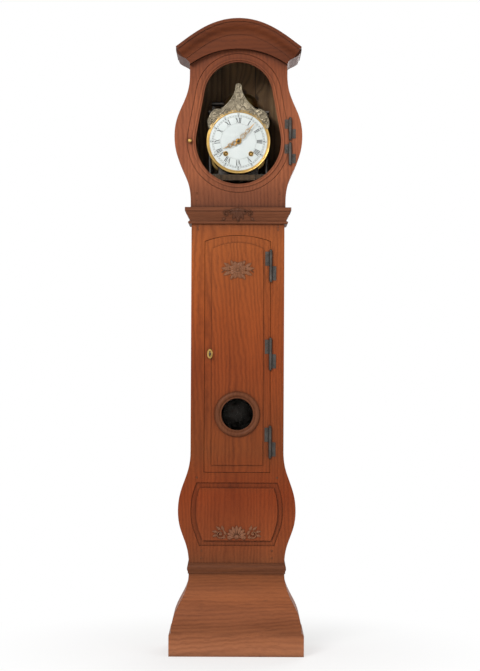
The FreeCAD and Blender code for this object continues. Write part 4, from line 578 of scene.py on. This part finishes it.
class Shape:
    """Points and faces of one piece, in millimetres, gathered from several runs."""

    def __init__(self):
        self.points = []
        self.faces = []

    def add(self, points, faces):
        start = len(self.points)
        self.points += [tuple(point) for point in points]
        self.faces += [[start + index for index in face] for face in faces]

    def sweep(self, sections):
        """Joins equal rings of points, with a cap at each end."""
        count = len(sections[0])
        points = [point for section in sections for point in section]
        last = len(points) - count
        sides = [(j, (j + 1) % count) for j in range(count)]
        faces = [[here + j, here + k, here + count + k, here + count + j]
                 for here in range(0, last, count) for j, k in sides]
        ends = [list(range(count))[::-1], list(range(last, len(points)))]
        self.add(points, faces + ends)

    def tube(self, path, radius, sides=8):
        """A round rod along a path of vectors; radius is one number or one for each point."""
        turns = round_turn(sides)
        sections = []
        for i, (side, other) in enumerate(across(path)):
            size = radius[i] if isinstance(radius, list) else radius
            sections.append([path[i] + (side * cos(t) + other * sin(t)) * size for t in turns])
        self.sweep(sections)

    def turned(self, profile, x, y, z, sides=32):
        """A turned form facing the front: profile holds (radius, height towards the viewer)."""
        count = len(profile)
        points, faces = [], []
        for k, turn in enumerate(round_turn(sides)):
            points += [(x + r * cos(turn), y - h, z + r * sin(turn)) for r, h in profile]
            here, there = k * count, (k + 1) % sides * count
            faces += [[here + j, there + j, there + j + 1, here + j + 1] for j in range(count - 1)]
        self.add(points, faces)

    def ribbon(self, path, halves, place, thick):
        """A flat bar with eased edges along a path in the plane of place(u, v, depth)."""
        outline = ((-1, 0), (-1, 0.55), (-0.55, 1), (0.55, 1), (1, 0.55), (1, 0))
        sections = []
        last = len(path) - 1
        for i, (u, v) in enumerate(path):
            (u0, v0), (u1, v1) = path[max(i - 1, 0)], path[min(i + 1, last)]
            size = hypot(u1 - u0, v1 - v0)
            half = halves[i] if isinstance(halves, list) else halves
            nu, nv = (v0 - v1) / size * half, (u1 - u0) / size * half
            sections.append([place(u + nu * a, v + nv * a, thick * b) for a, b in outline])
        self.sweep(sections)

    def make(self, name, material, body, slot, smooth=True):
        """The piece itself, riding on a body unless that is None."""
        mesh = bpy.data.meshes.new(name)
        mesh.from_pydata([(x / MM, y / MM, z / MM) for x, y, z in self.points], [], self.faces)
        mesh.validate()
        if smooth:
            mesh.shade_smooth()
            mesh.set_sharp_from_angle(angle=radians(42))
        mesh.materials.append(material)
        piece = linked(name, mesh)
        if body:
            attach(piece, body)
        return piece


def swell(square):
    """Height of a round section, where square is the distance from its middle, as a share, squared."""
    return np.sqrt(np.clip(1 - square, 0, 1))


class Relief:
    """A carved or stamped height field on a front face, in millimetres; below nought it isn't there.

    What is drawn with side -1 is mirrored to the left.
    """

    def __init__(self, half, low, high, step):
        self.x, self.z = np.meshgrid(np.arange(-half, half + step, step), np.arange(low, high + step, step))
        self.h = np.full(self.x.shape, -1.0)

    def lift(self, height, where):
        """Raises the field to a height, where that is more."""
        self.h = np.where(where, np.maximum(self.h, height), self.h)

    def segment(self, start, end):
        """The nearest share of a straight stretch to each point, and its distance."""
        (x0, z0), (x1, z1) = start, end
        dx, dz = x1 - x0, z1 - z0
        share = np.clip(((self.x - x0) * dx + (self.z - z0) * dz) / (dx * dx + dz * dz + 1e-9), 0, 1)
        return share, np.hypot(self.x - x0 - share * dx, self.z - z0 - share * dz)

    def edge_distance(self, outline):
        """Distance of each point to a closed outline, negative outside it."""
        nearest = np.full(self.x.shape, np.inf)
        inside = np.zeros(self.x.shape, bool)
        for start, end in zip(outline, outline[1:] + outline[:1]):
            nearest = np.minimum(nearest, self.segment(start, end)[1])
            (x0, z0), (x1, z1) = start, end
            crosses = (z0 > self.z) != (z1 > self.z)
            inside ^= crosses & (self.x < (x1 - x0) * (self.z - z0) / ((z1 - z0) or 1e-9) + x0)
        return np.where(inside, nearest, -nearest)

    def dome(self, x, z, radius, height):
        square = ((self.x - x) ** 2 + (self.z - z) ** 2) / radius ** 2
        self.lift(height * swell(square), square < 1)

    def petal(self, x, z, angle, length, half, height, vein=0.25, blunt=0.7, side=1):
        """A leaf from (x, z) towards angle, in degrees from +X, with a groove along its middle."""
        ux, uz = direction(angle)
        dx, dz = side * self.x - x, self.z - z
        along = (dx * ux + dz * uz) / length
        off = dz * ux - dx * uz
        run = np.clip(along, 0, 1)
        share = np.abs(off) / (half * np.sin(pi * run ** blunt) + 1e-6)
        body = height * swell(share ** 2) * (0.55 + 0.45 * np.sin(pi * run))
        groove = vein * height * np.exp(-(off / (0.16 * half)) ** 2)
        self.lift(body - groove, (share < 1) & (along > 0) & (along < 1))

    def ridge(self, path, halves, height, side=1):
        """A rounded strand along a path, its half width given at each point."""
        path = [(side * x, z) for x, z in path]
        for k in range(len(path) - 1):
            along, distance = self.segment(path[k], path[k + 1])
            share = distance / (halves[k] + along * (halves[k + 1] - halves[k]))
            self.lift(height * swell(share ** 2), share < 1)

    def scroll(self, x, z, start, turns, outer, inner, half, height, side=1):
        """A strand that winds in to a round eye; turns is negative for clockwise."""
        share = np.linspace(0, 1, 43)
        radius = outer * (1 - share) ** 1.15 + inner
        angle = radians(start) + tau * turns * share
        path = zip(x + radius * np.cos(angle), z + radius * np.sin(angle))
        self.ridge(path, half * (1.0 - 0.45 * share), height, side)
        self.dome(side * x, z, inner + half * 1.1, height * 1.15)

    def flower(self, x, z, radius, petals, height, turn=0.0):
        for k in range(petals):
            self.petal(x, z, turn + 360.0 * k / petals, radius, radius * 2.1 / petals, height, 0.3, 1.15)
        self.dome(x, z, radius * 0.3, height * 1.35)

    def make(self, name, face, material, body, slot, sink=0.3):
        """Keeps the raised cells; face is a number or a function of z for the face's y."""
        raised = self.h > 0
        keep = raised[:-1, :-1] | raised[1:, :-1] | raised[:-1, 1:] | raised[1:, 1:]
        index, points, faces = {}, [], []
        for i, j in zip(*np.nonzero(keep)):
            corners = ((i, j), (i + 1, j), (i + 1, j + 1), (i, j + 1))
            faces.append([index.setdefault(corner, len(index)) for corner in corners])
        for corner in index:
            z = self.z[corner]
            y = face(z) if callable(face) else face
            points.append((self.x[corner], y - max(self.h[corner], -sink), z))
        shape = Shape()
        shape.add(points, faces)
        return shape.make(name, material, body, slot)


# The dial's figures and fittings

def on_dial(x, z, lift):
    """A point on the domed dial, lifted a little off the enamel."""
    return (x, DIAL_FRONT_Y + DIAL_BALL - sqrt(DIAL_BALL ** 2 - x * x - z * z) - lift, DIAL_Z + z)


def around(angle, radius):
    """A point of the figures at an angle clockwise from twelve, in radians."""
    return on_dial(radius * sin(angle), radius * cos(angle), 0.2)


def numeral_strokes(letters):
    """Strokes of one Roman numeral as (bottom x, top x, half width), with their middle at nought."""
    advance = {"I": 4.8, "V": 11.5, "X": 11.5}
    thick, thin, lean = 1.25, 0.5, 4.0
    forms = {"I": [(0, 0, thick)], "V": [(0, -lean, thick), (0, lean, thin)],
             "X": [(lean, -lean, thick), (-lean, lean, thin)]}
    left = -sum(advance[letter] for letter in letters) / 2
    strokes = []
    for letter in letters:
        middle = left + advance[letter] / 2
        strokes += [(middle + low, middle + high, half) for low, high, half in forms[letter]]
        left += advance[letter]
    return strokes


def dial_figures():
    """Hour numerals, a minute track with ticks, and minute numbers."""
    shape = Shape()
    foot, head = 67.5, 87.5
    middle = (foot + head) / 2
    serif_out, serif_rise = 1.1, 0.9
    track_in, track_out = 91.0, 95.6
    number_foot, number_middle, number_size = 97.6, 100.5, 8.6

    def patch(at, start, end):
        """A stroke from one (x, half width, radius) to another, bent over the dial in steps."""
        steps = 4
        points = []
        for i in range(steps + 1):
            x, half, radius = [a + (b - a) * i / steps for a, b in zip(start, end)]
            points += [around(at + (x + edge) / middle, radius) for edge in (-half, half)]
        shape.add(points, [[2 * i, 2 * i + 1, 2 * i + 3, 2 * i + 2] for i in range(steps)])

    def circle(radius, width):
        count = 180
        points = []
        for angle in round_turn(count):
            points += [around(angle, radius + edge) for edge in (-width / 2, width / 2)]
        total = 2 * count
        shape.add(points, [[k, k + 1, (k + 3) % total, (k + 2) % total] for k in range(0, total, 2)])

    for at, letters in zip(round_turn(12), "XII I II III IIII V VI VII VIII IX X XI".split()):
        for low, high, half in numeral_strokes(letters):
            patch(at, (low, half, foot), (high, half, head))
            for x, radius, rise in ((low, foot, serif_rise), (high, head, -serif_rise)):
                serif = half + serif_out
                patch(at, (x, serif, radius), (x, serif * 0.6, radius + rise))
    circle(track_in, 0.55)
    circle(track_out, 0.55)
    circle(foot - 2.7, 0.4)
    for minute, at in enumerate(round_turn(60)):
        half = 1.3 if minute % 5 == 0 else 0.4
        patch(at, (0, half, track_in), (0, half, track_out))
    for minute in range(5, 65, 5):
        letters = bpy.data.curves.new("minute_number", "FONT")
        letters.body = str(minute)
        letters.size = number_size
        letters.align_x = "CENTER"
        holder = linked("minute_number", letters)
        flat = bpy.data.meshes.new_from_object(holder)
        at = tau * minute / 60
        places = [(vertex.co.x / number_middle, number_foot + vertex.co.y) for vertex in flat.vertices]
        shape.add([around(at + x, radius) for x, radius in places],
                  [list(face.vertices) for face in flat.polygons])
        bpy.data.objects.remove(holder)
        bpy.data.curves.remove(letters)
        bpy.data.meshes.remove(flat)
    shape.make("dial_figures", BLACK, "case", "enamel", smooth=False)


def dial_fittings():
    """A rolled bezel round the enamel and two collets round the winding holes."""
    shape = Shape()
    rim = [(105.6, -0.6), (105.6, 0.7), (106.4, 2.0), (108.2, 2.9), (110.0, 2.6), (111.2, 1.4), (112.0, 1.3),
           (113.2, 2.0), (115.0, 2.0), (116.4, 1.2), (117.2, 0.0), (117.2, -2.5)]
    bezel_y = PLATE_FACE_Y - 1.6
    shape.turned(rim, 0, bezel_y, DIAL_Z, 160)
    collet = [(7.0, -2.0), (7.0, 0.9), (7.6, 1.5), (8.5, 1.5), (9.2, 0.9), (9.6, -0.4)]
    for side in (-1, 1):
        x, y, z = on_dial(side * BARREL_X, BARREL_Z - DIAL_Z, 0.0)
        shape.turned(collet, x, y, z, 40)
    shape.make("dial_bezel", BRASS, "case", "brass")


def hand(node, body, angle, length, bore, boss, scale):
    """A pierced hand: boss, two open-work lobes of scrolling bars, a leaf tip and a tail."""
    shape = Shape()
    thick = 1.4
    lobe = 7.4 * scale
    back_y = place_of(node, Y, HIGH)
    ux, uz = direction(angle)

    def place(u, v, depth):
        return (u * ux + v * uz, back_y - depth, DIAL_Z - u * uz + v * ux)

    def shaft(*stations):
        """A straight bar on the middle line, from (distance from the arbor, half width)."""
        shape.ribbon([(0, v) for v, half in stations], [half * scale for v, half in stations], place, thick)

    shape.turned([(bore, 0.0), (bore, 1.5), (boss * 0.72, 2.0), (boss * 0.9, 1.5), (boss, 0.7), (boss, 0.0)],
                 0, back_y, DIAL_Z, 48)
    shaft((boss * 0.8, 1.7), (length * 0.17, 1.3))
    shaft((-boss * 0.8, 1.5), (-length * 0.12, 1.2), (-length * 0.2, 2.4))
    # Half width and poles of the bars on one side, as shares of the lobe and of the hand's length
    bars = ((0.95, (0, 0.15), (1.5, 0.17), (1.4, 0.34), (0, 0.40)),
            (0.75, (0, 0.36), (0.75, 0.33), (0.7, 0.22), (0.15, 0.24)),
            (0.95, (0, 0.46), (1.3, 0.49), (1.0, 0.62), (0, 0.70)),
            (0.7, (0, 0.65), (0.55, 0.62), (0.5, 0.54), (0.1, 0.55)),
            (0.7, (0, 0.43), (0.6, 0.45), (0.9, 0.43), (0.8, 0.40)))
    for side in (-1, 1):
        for half, *poles in bars:
            path = curve_points([(side * lobe * u, length * v) for u, v in poles])
            shape.ribbon(path, half * scale, place, thick)
    shaft((length * 0.38, 1.5), (length * 0.48, 1.2))
    shaft((length * 0.68, 1.0), (length * 0.74, 1.9), (length * 0.82, 1.6), (length, 0.3))
    piece = shape.make(node + "_pierced", GILT, body, "gilt")
    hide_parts(node)


def arbor_pin():
    """Collet and taper pin that hold the minute hand on its arbor."""
    shape = Shape()
    for profile in ([(3.2, -0.4), (5.2, -0.4), (5.2, 0.4), (4.2, 1.1), (3.2, 1.3)],
                    [(0.02, 2.3), (1.6, 2.1), (2.6, 1.3), (2.9, 0.3), (2.9, -0.6)]):
        shape.turned(profile, 0, ARBOR_END_Y, DIAL_Z)
    pin_y = ARBOR_END_Y - 0.9
    shape.tube([Vector((-6.5, pin_y, DIAL_Z - 2.4)), Vector((6.5, pin_y, DIAL_Z + 2.0))], [0.55, 0.85])
    shape.make("hand_pin", IRON, "minute_arbor", "iron")


# The stamped pediment

def fronton_outline():
    """The pediment's edge from its right foot over a wing, its top and the left wing, and back below."""
    low = (FRONTON_R * cos(FRONTON_FOOT), DIAL_Z + FRONTON_R * sin(FRONTON_FOOT))
    top = FRONTON_LOW_Z
    shoulder = (107.0, top - 17.0)
    notch = (65.0, top + 9.0)
    neck = (12.6, FRONTON_Z - 24.0)
    right = [low]
    for poles in ((low, (115.0, low[1] + 3.0), (118.0, top - 36.0), shoulder),
                  (shoulder, (101.0, top + 4.0), (80.0, top + 17.0), notch),
                  (notch, (48.0, top + 24.0), (22.6, neck[1] - FRONTON_H * 0.33), neck),
                  (neck, (14.4, FRONTON_Z - 6.0), (6.0, FRONTON_Z), (0.0, FRONTON_Z))):
        right += curve_points(poles, 22)[1:]
    left = [(-x, z) for x, z in right[::-1]][1:]
    turns = np.linspace(pi - FRONTON_FOOT, FRONTON_FOOT, 41)[1:-1]
    return right + left + [(FRONTON_R * cos(turn), DIAL_Z + FRONTON_R * sin(turn)) for turn in turns]


def fronton_sheet(outline):
    """The thin sheet that the ornament is stamped in."""
    sheet = Shape()
    sheet.sweep([[(x, FRONTON_FACE_Y + depth, z) for x, z in outline] for depth in (2.4, 0.05)])
    sheet.make("fronton_sheet", STAMPED, "case", "brass", smooth=False)


def beaded_border(relief, outline):
    """Beads in a row inside the pediment's edge."""
    pitch, inset, radius, height = 4.0, 4.6, 1.55, 1.4
    travelled = 0.0
    for (x0, z0), (x1, z1) in zip(outline[-1:] + outline, outline):
        step = hypot(x1 - x0, z1 - z0)
        travelled += step
        if travelled > pitch:
            travelled = 0.0
            relief.dome(x1 - (z1 - z0) / step * inset, z1 + (x1 - x0) / step * inset, radius, height)


def fronton_side(relief, side):
    """Leafy scrolls and flowers on one side of the pediment."""
    foot = FRONTON_LOW_Z
    relief.scroll(96, foot - 33, 150, 1.5, 9, 1.4, 1.9, 2.3, side)
    relief.scroll(44, foot - 4, 150, -1.6, 13, 1.6, 2.1, 2.2, side)
    relief.scroll(17.5, foot + 47, 90, 1.3, 7, 1.2, 1.5, 1.9, side)
    wing = ((70, -10, 14, 25), (64, -2, 30, 26), (78, -26, -14, 18), (86, -42, -62, 15), (99, -26, 62, 14),
            (97, -38, -30, 13), (80, -2, -34, 15))
    for x, z, angle, length in wing:
        relief.petal(x, foot + z, angle, length, 4.2, 2.1, side=side)
    stem = curve_points([(4, foot + 7), (12, foot + 28), (22, foot + 20), (29, foot + 4)])
    relief.ridge(stem, [2.2 - 0.02 * k for k in range(len(stem))], 2.2, side)
    leaves = ((27, 6, 62, 16, 3.4), (34, 11, 40, 15, 3.6), (56, -6, -8, 13, 3.8), (52, -15, -38, 15, 3.4),
              (14, 24, 78, 15, 3.6), (24, 34, 52, 12, 3.8), (64, -19, -32, 12, 3.4), (12, 2, -20, 14, 3.6))
    for x, z, angle, length, half in leaves:
        relief.petal(x, foot + z, angle, length, half, 1.9, side=side)
    relief.flower(side * 75, foot - 15, 6.5, 6, 2.6, 20)
    relief.flower(side * 13, foot + 37, 7.0, 6, 2.4, 12)


def fronton_middle(relief):
    """A vase of flowers under a finial."""
    foot = FRONTON_LOW_Z
    heights, halves = [-2, 1, 6, 12, 19, 23, 25], [6.5, 6.0, 3.0, 8.5, 10.0, 7.0, 8.2]
    low, lip = foot + heights[0], foot + heights[-1]
    half = np.interp(relief.z - foot, heights, halves)
    vase = 2.6 * swell((relief.x / half) ** 2) + 0.25 * np.cos(relief.x * 1.9)
    relief.lift(vase, (relief.z > low) & (relief.z < lip) & (np.abs(relief.x) < half))
    for k in range(7):
        relief.petal(0, lip, 30 + 20 * k, 20 - abs(k - 3), 3.0, 2.1)
    relief.flower(0, foot + 40, 9.5, 8, 3.0)
    relief.flower(0, foot + 60, 7.5, 7, 2.6, 10)
    for k in range(5):
        relief.petal(0, foot + 68, 34 + 28 * k, 15, 3.0, 2.0)
    relief.dome(0, foot + 89, 4.4, 2.8)


def fronton():
    """Stamped brass: a vase of flowers between leafy scrolls, in a beaded border, over rays."""
    outline = fronton_outline()
    fronton_sheet(outline)
    relief = Relief(116, FRONTON_LOW_Z - 66, FRONTON_Z + 1, 0.75)
    away = relief.edge_distance(outline)
    inside = away > 0.25
    rays = np.arctan2(relief.x, relief.z - FRONTON_LOW_Z + 9)
    relief.lift(0.22 + 0.16 * np.cos(rays * 60), inside)
    relief.lift(1.2 * swell(((away - 1.5) / 1.15) ** 2), inside)
    beaded_border(relief, outline)
    for side in (-1, 1):
        fronton_side(relief, side)
    fronton_middle(relief)
    relief.h = np.where(inside, relief.h, -1.0)
    relief.make("fronton_relief", FRONTON_FACE_Y, STAMPED, "case", "brass", 0.1)


# Carvings

def door_spray():
    """A flower with two rings of petals between leafy sprays, carved on the door."""
    relief = Relief(66, ROSETTE_Z - 40, ROSETTE_Z + 40, 0.9)
    leaves = ((28, 2, 8, 34, 7.5), (27, 8, 38, 30, 7.0), (27, -6, -28, 30, 7.0), (18, 18, 66, 20, 6.0),
              (18, -18, -64, 20, 6.0))
    stem = curve_points([(20, ROSETTE_Z), (34, ROSETTE_Z + 4), (46, ROSETTE_Z + 2), (58, ROSETTE_Z - 9)])
    for side in (-1, 1):
        for x, z, angle, length, half in leaves:
            relief.petal(x, ROSETTE_Z + z, angle, length, half, 4.2, side=side)
        relief.ridge(stem, [2.0 - 0.04 * k for k in range(len(stem))], 3.4, side)
    for radius, half, height, turn, vein in ((34, 10.5, 5.2, 22.5, 0.22), (22, 7.2, 7.0, 0.0, 0.28)):
        for k in range(8):
            relief.petal(0, ROSETTE_Z, turn + 45 * k, radius, half, height, vein, 1.25)
    relief.dome(0, ROSETTE_Z, 7.5, 8.6)
    for turn in round_turn(6):
        relief.dome(5.0 * cos(turn), ROSETTE_Z + 5.0 * sin(turn), 1.9, 8.4)
    piece = relief.make("door_flower", DOOR_FACE_Y, CARVED, "trunk_door_leaf", "cherry")
    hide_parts("door_carving")


def belly_shell():
    """A ribbed shell over two leafy scrolls, carved on the belly panel."""
    relief = Relief(92, SHELL_Z - 8, SHELL_Z + 52, 0.9)
    leaves = ((48, 26, 70, 20), (58, 27, 40, 22), (70, 20, 12, 20), (72, 10, -18, 18), (38, 10, 58, 22),
              (40, 2, -6, 18))
    for k in range(9):
        angle = 180.0 * k / 8
        reach = 34 + 9 * sin(radians(angle))
        relief.petal(0, SHELL_Z + 2, angle, reach, 6.4, 5.8, 0.12, 1.9)
    relief.dome(0, SHELL_Z + 3, 9.0, 6.2)
    for side in (-1, 1):
        relief.scroll(60, SHELL_Z + 13, 200, 1.35, 14, 1.8, 3.0, 4.6, side)
        relief.scroll(24, SHELL_Z + 1, 30, -1.0, 7, 1.4, 2.4, 4.8, side)
        for x, z, angle, length in leaves:
            relief.petal(x, SHELL_Z + z, angle, length, 5.0, 4.0, side=side)
    piece = relief.make("belly_shell", DOOR_FACE_Y, CARVED, "case", "cherry")
    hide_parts("belly_carving")


def collar_face(z):
    """How the collar's moulding runs at its middle, as the y of its face at height z."""
    lip, bead = COLLAR_H * 0.22, COLLAR_H * 0.18
    start, end = COLLAR_OUT * 0.3, COLLAR_OUT * 0.85
    rise = z - COLLAR_LOW_Z
    if rise > COLLAR_H - lip:
        out = COLLAR_OUT
    elif rise > bead:
        share = (rise - bead) / (COLLAR_H - lip - bead)
        out = start + (end - start) * share * share * (3 - 2 * share)
    else:
        out = start + bead / 2
    return TRUNK_FACE_Y - out


def collar_leaf():
    """An acanthus leaf with side curls, laid over the collar at its middle."""
    relief = Relief(62, COLLAR_LOW_Z + 2, COLLAR_LOW_Z + 59, 0.9)
    top = COLLAR_LOW_Z + 54
    for spread, length, half in ((0, 50, 9), (28, 44, 8), (56, 38, 7), (78, 32, 6)):
        for side in (-1, 1):
            relief.petal(0, top, spread - 90, length, half, 5.2, 0.3, 0.9, side)
    relief.dome(0, top - 3, 8, 6.4)
    for side in (-1, 1):
        relief.scroll(42, COLLAR_LOW_Z + 36, 160, -1.3, 12, 1.6, 2.6, 4.4, side)
        relief.petal(46, COLLAR_LOW_Z + 22, -40, 18, 5.0, 3.6, side=side)
    relief.make("collar_leaf", collar_face, CARVED, "case", "cherry", 1.5)


# Fixings

def pegs():
    """Slightly proud, unevenly cut wooden pegs at the joints of the front frames."""
    shape = Shape()
    sides = 8
    rows = ((146, TRUNK_FACE_Y, (640, 1542, 1552)), (128, TRUNK_FACE_Y, (348, 374)),
            (150, HOOD_FACE_Y, (1648, 1672)))
    for x, y, z in [(x, y, z) for half, y, heights in rows for x in (-half, half) for z in heights]:
        size = 4.0 + random.uniform(-0.3, 0.4)
        start = random.uniform(0, pi)
        ring = [start + angle + random.uniform(-0.12, 0.12) for angle in round_turn(sides)]
        levels = ((1.0, -1.0), (1.0, 0.5), (0.86, 0.9), (0.4, 1.0 + random.uniform(0.0, 0.3)))
        shape.sweep([[(x + size * s * cos(t), y - h, z + size * s * sin(t)) for t in ring]
                     for s, h in levels])
    shape.make("frame_pegs", DARK_RING, "case", "cherry")


def screw(shape, x, y, z, radius):
    """A domed head with a slot, turned at random."""
    turn = random.uniform(0, pi)
    shape.turned([(radius, -0.3), (radius, 0.25), (radius * 0.8, 0.7), (radius * 0.45, 0.95), (0.02, 1.02)],
                 x, y, z, 20)
    dx, dz = cos(turn) * radius * 0.96, sin(turn) * radius * 0.96
    shape.tube([Vector((x - dx, y - 0.85, z - dz)), Vector((x + dx, y - 0.85, z + dz))], 0.32, 6)


def hinge_screws():
    """Heads on every hinge strap, in one piece for each body that they sit on."""
    sets = {"case": Shape(), "trunk_door_leaf": Shape(), "hood_door_leaf": Shape()}
    strap_half, strap_t = 12.5, 1.5
    for leaf, x, face_y, heights, rises, radius in (
            ("trunk_door_leaf", TRUNK_HINGE_X, TRUNK_FACE_Y, TRUNK_HINGE_Z, (13.0, 39.0), 3.0),
            ("hood_door_leaf", HOOD_HINGE_X, HOOD_FACE_Y, HOOD_HINGE_Z, (9.0, 25.0), 2.6)):
        for z in heights:
            for rise in rises:
                screw(sets["case"], x + strap_half, face_y - strap_t, z - rise, radius)
                screw(sets[leaf], x - strap_half, face_y - strap_t, z + rise, radius)
    for body, shape in sets.items():
        shape.make("screws_" + body, IRON, body, "iron")


def back_nails():
    """Forged nail heads in rows across the backboard, each row given by its height and half width."""
    shape = Shape()
    rows = ((40, 222), (150, 205), (310, 158), (520, 198), (735, 150), (1000, 155), (1300, 155), (1600, 155),
            (1880, 210), (2120, 150))
    levels = ((4.2, 1.2), (4.0, 0.5), (2.4, 0.05), (0.3, 0.0))
    gaps, sides = 6, 6
    for z, half in rows:
        for k in range(gaps + 1):
            x = -half + 2 * half * k / gaps + random.uniform(-5, 5)
            turn = random.uniform(0, 2)
            height = z + random.uniform(-4, 4)
            ring = [turn + angle for angle in round_turn(sides)]
            shape.sweep([[(x + r * cos(t), BACK_Y - sink, height + r * sin(t)) for t in ring]
                         for r, sink in levels])
    shape.make("back_nails", IRON, "case", "iron")


# Cords

def strands(shape, path, size, pitch):
    """Three strands laid round a path of vectors."""
    count = 3
    radius = size * 0.52
    travelled = np.cumsum([0.0] + [(after - before).length for before, after in zip(path, path[1:])])
    for k in range(count):
        line = []
        for i, (side, other) in enumerate(across(path)):
            turn = tau * (travelled[i] / pitch + k / count)
            line.append(path[i] + (side * cos(turn) + other * sin(turn)) * (size - radius))
        shape.tube(line, radius, 6)


def hanging_cord(side, node):
    """The run from the drum to the weight, made at one length; it does not lengthen here as the weight
    falls.
    """
    shape = Shape()
    x = side * CORD_X
    steps = 340
    drop = CORD_LOW_Z - 1.0 - BARREL_Z
    strands(shape, [Vector((x, CORD_Y, BARREL_Z + drop * i / steps)) for i in range(steps + 1)],
            CORD_R, CORD_PITCH)
    piece = shape.make(node + "_strands", HEMP, None, "cord")
    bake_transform(piece)
    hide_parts(node)


def cord_knot(side, body):
    """A whipped loop of cord through the weight's ring."""
    shape = Shape()
    x = side * CORD_X
    loop_z, whip_z, whip_r = CORD_LOW_Z - 2.1, CORD_LOW_Z + 4.0, 3.2
    loop = [Vector((x + 1.2 * sin(2 * t), CORD_Y + 5.0 * sin(t), loop_z + 5.2 * cos(t)))
            for t in [tau * k / 40 for k in range(41)]]
    strands(shape, loop, 1.7, 9.0)
    whip = [Vector((x + whip_r * cos(t), CORD_Y + whip_r * sin(t), whip_z + 0.42 * t))
            for t in [0.35 * k for k in range(80)]]
    shape.tube(whip, 1.1, 7)
    shape.make(body + "_knot", HEMP, body, "cord")


def wound_cord(side, body):
    """The turns of cord left on the drum."""
    shape = Shape()
    radius = DRUM_R + CORD_R + 0.1
    turns, start_y, width = 4.4, 34.6, 17.2
    steps = 520
    path = []
    for k in range(steps + 1):
        turn = side * tau * turns * k / steps
        path.append(Vector((side * BARREL_X + radius * cos(turn), start_y + width * k / steps,
                            BARREL_Z + radius * sin(turn))))
    strands(shape, path, CORD_R, CORD_PITCH)
    shape.make(body + "_cord", HEMP, body, "cord")


dial_figures()
dial_fittings()
hand("minute_hand", "minute_arbor", MINUTE_ANGLE, length=90.0, bore=3.05, boss=8.0, scale=1.0)
hand("hour_hand", "hour_pipe", HOUR_ANGLE, length=62.0, bore=5.55, boss=10.5, scale=1.12)
arbor_pin()
fronton()
door_spray()
belly_shell()
collar_leaf()
pegs()
hinge_screws()
back_nails()
for way, train in ((1, "going"), (-1, "strike")):
    hanging_cord(way, train + "_cord")
    cord_knot(way, train + "_weight_body")
    wound_cord(way, train + "_barrel_body")


# Camera, floor and light

def camera():
    """A long lens square to the front, aimed for a picture 480 wide and 671 high; the picture's size is not
    set here.
    """
    view = bpy.data.cameras.new("camera")
    view.sensor_fit = "VERTICAL"
    view.sensor_height = 36.0
    view.lens = 104.35
    view.clip_end = 60.0
    holder = linked("camera", view)
    holder.location = (0.009, -7.14, 1.157)
    holder.rotation_euler = (pi / 2, -0.0045, 0.0)
    bpy.context.scene.camera = holder


def floor():
    """A pale floor that keeps the clock's shadow and otherwise fades into the white behind."""
    half = 9.0
    rows = 24
    wide = rows + 1
    mesh = bpy.data.meshes.new("floor")
    points = [(-half + 2 * half * i / rows, -half + 2 * half * j / rows, 0.0)
              for j in range(wide) for i in range(wide)]
    starts = [j * wide + i for j in range(rows) for i in range(rows)]
    mesh.from_pydata(points, [], [[k, k + 1, k + wide + 1, k + wide] for k in starts])
    ground = linked("floor", mesh)
    made = Surface("pale_floor")
    made.set(Base_Color=(0.92, 0.92, 0.92, 1), Roughness=0.9)
    glow = made.add("Emission", WHITE, 1.0)
    away = made.vector("LENGTH", made.place, output="Value")
    fade = made.span(away, 0.28, 1.1, 0.58, 1.0, interpolation_type="SMOOTHSTEP")
    share = made.times(made.seen_directly(), fade)
    made.show("Material Output", share, made.shader.outputs["BSDF"], glow)
    mesh.materials.append(made.material)


def lamp(name, place, target, size, power):
    light = bpy.data.lights.new(name, "AREA")
    light.shape = "RECTANGLE"
    light.size, light.size_y = size
    light.energy = power
    holder = linked(name, light)
    holder.location = place
    holder.rotation_euler = (Vector(target) - Vector(place)).to_track_quat("-Z", "Y").to_euler()


def world():
    """White where it is seen, and an even pale light from all round."""
    sky = bpy.data.worlds.new("studio")
    bpy.context.scene.world = sky
    sky.use_nodes = True
    made = Nodes(sky.node_tree)
    lit = made.nodes["Background"]
    lit.inputs["Color"].default_value = (1.0, 0.985, 0.96, 1)
    lit.inputs["Strength"].default_value = 0.45
    white = made.add("Background", WHITE, 1.0)
    made.show("World Output", made.seen_directly(), lit.outputs["Background"], white)


camera()
floor()
world()
lamp("key_left", (-2.3, -4.8, 3.9), (0, 0, 1.1), (2.0, 2.0), 235)
lamp("fill_right", (3.2, -3.6, 1.8), (0, 0, 1.1), (2.2, 2.6), 40)
lamp("behind", (1.6, 4.6, 3.0), (0, 0, 1.2), (2.4, 2.4), 80)
bpy.context.scene.view_settings.view_transform = "Standard"
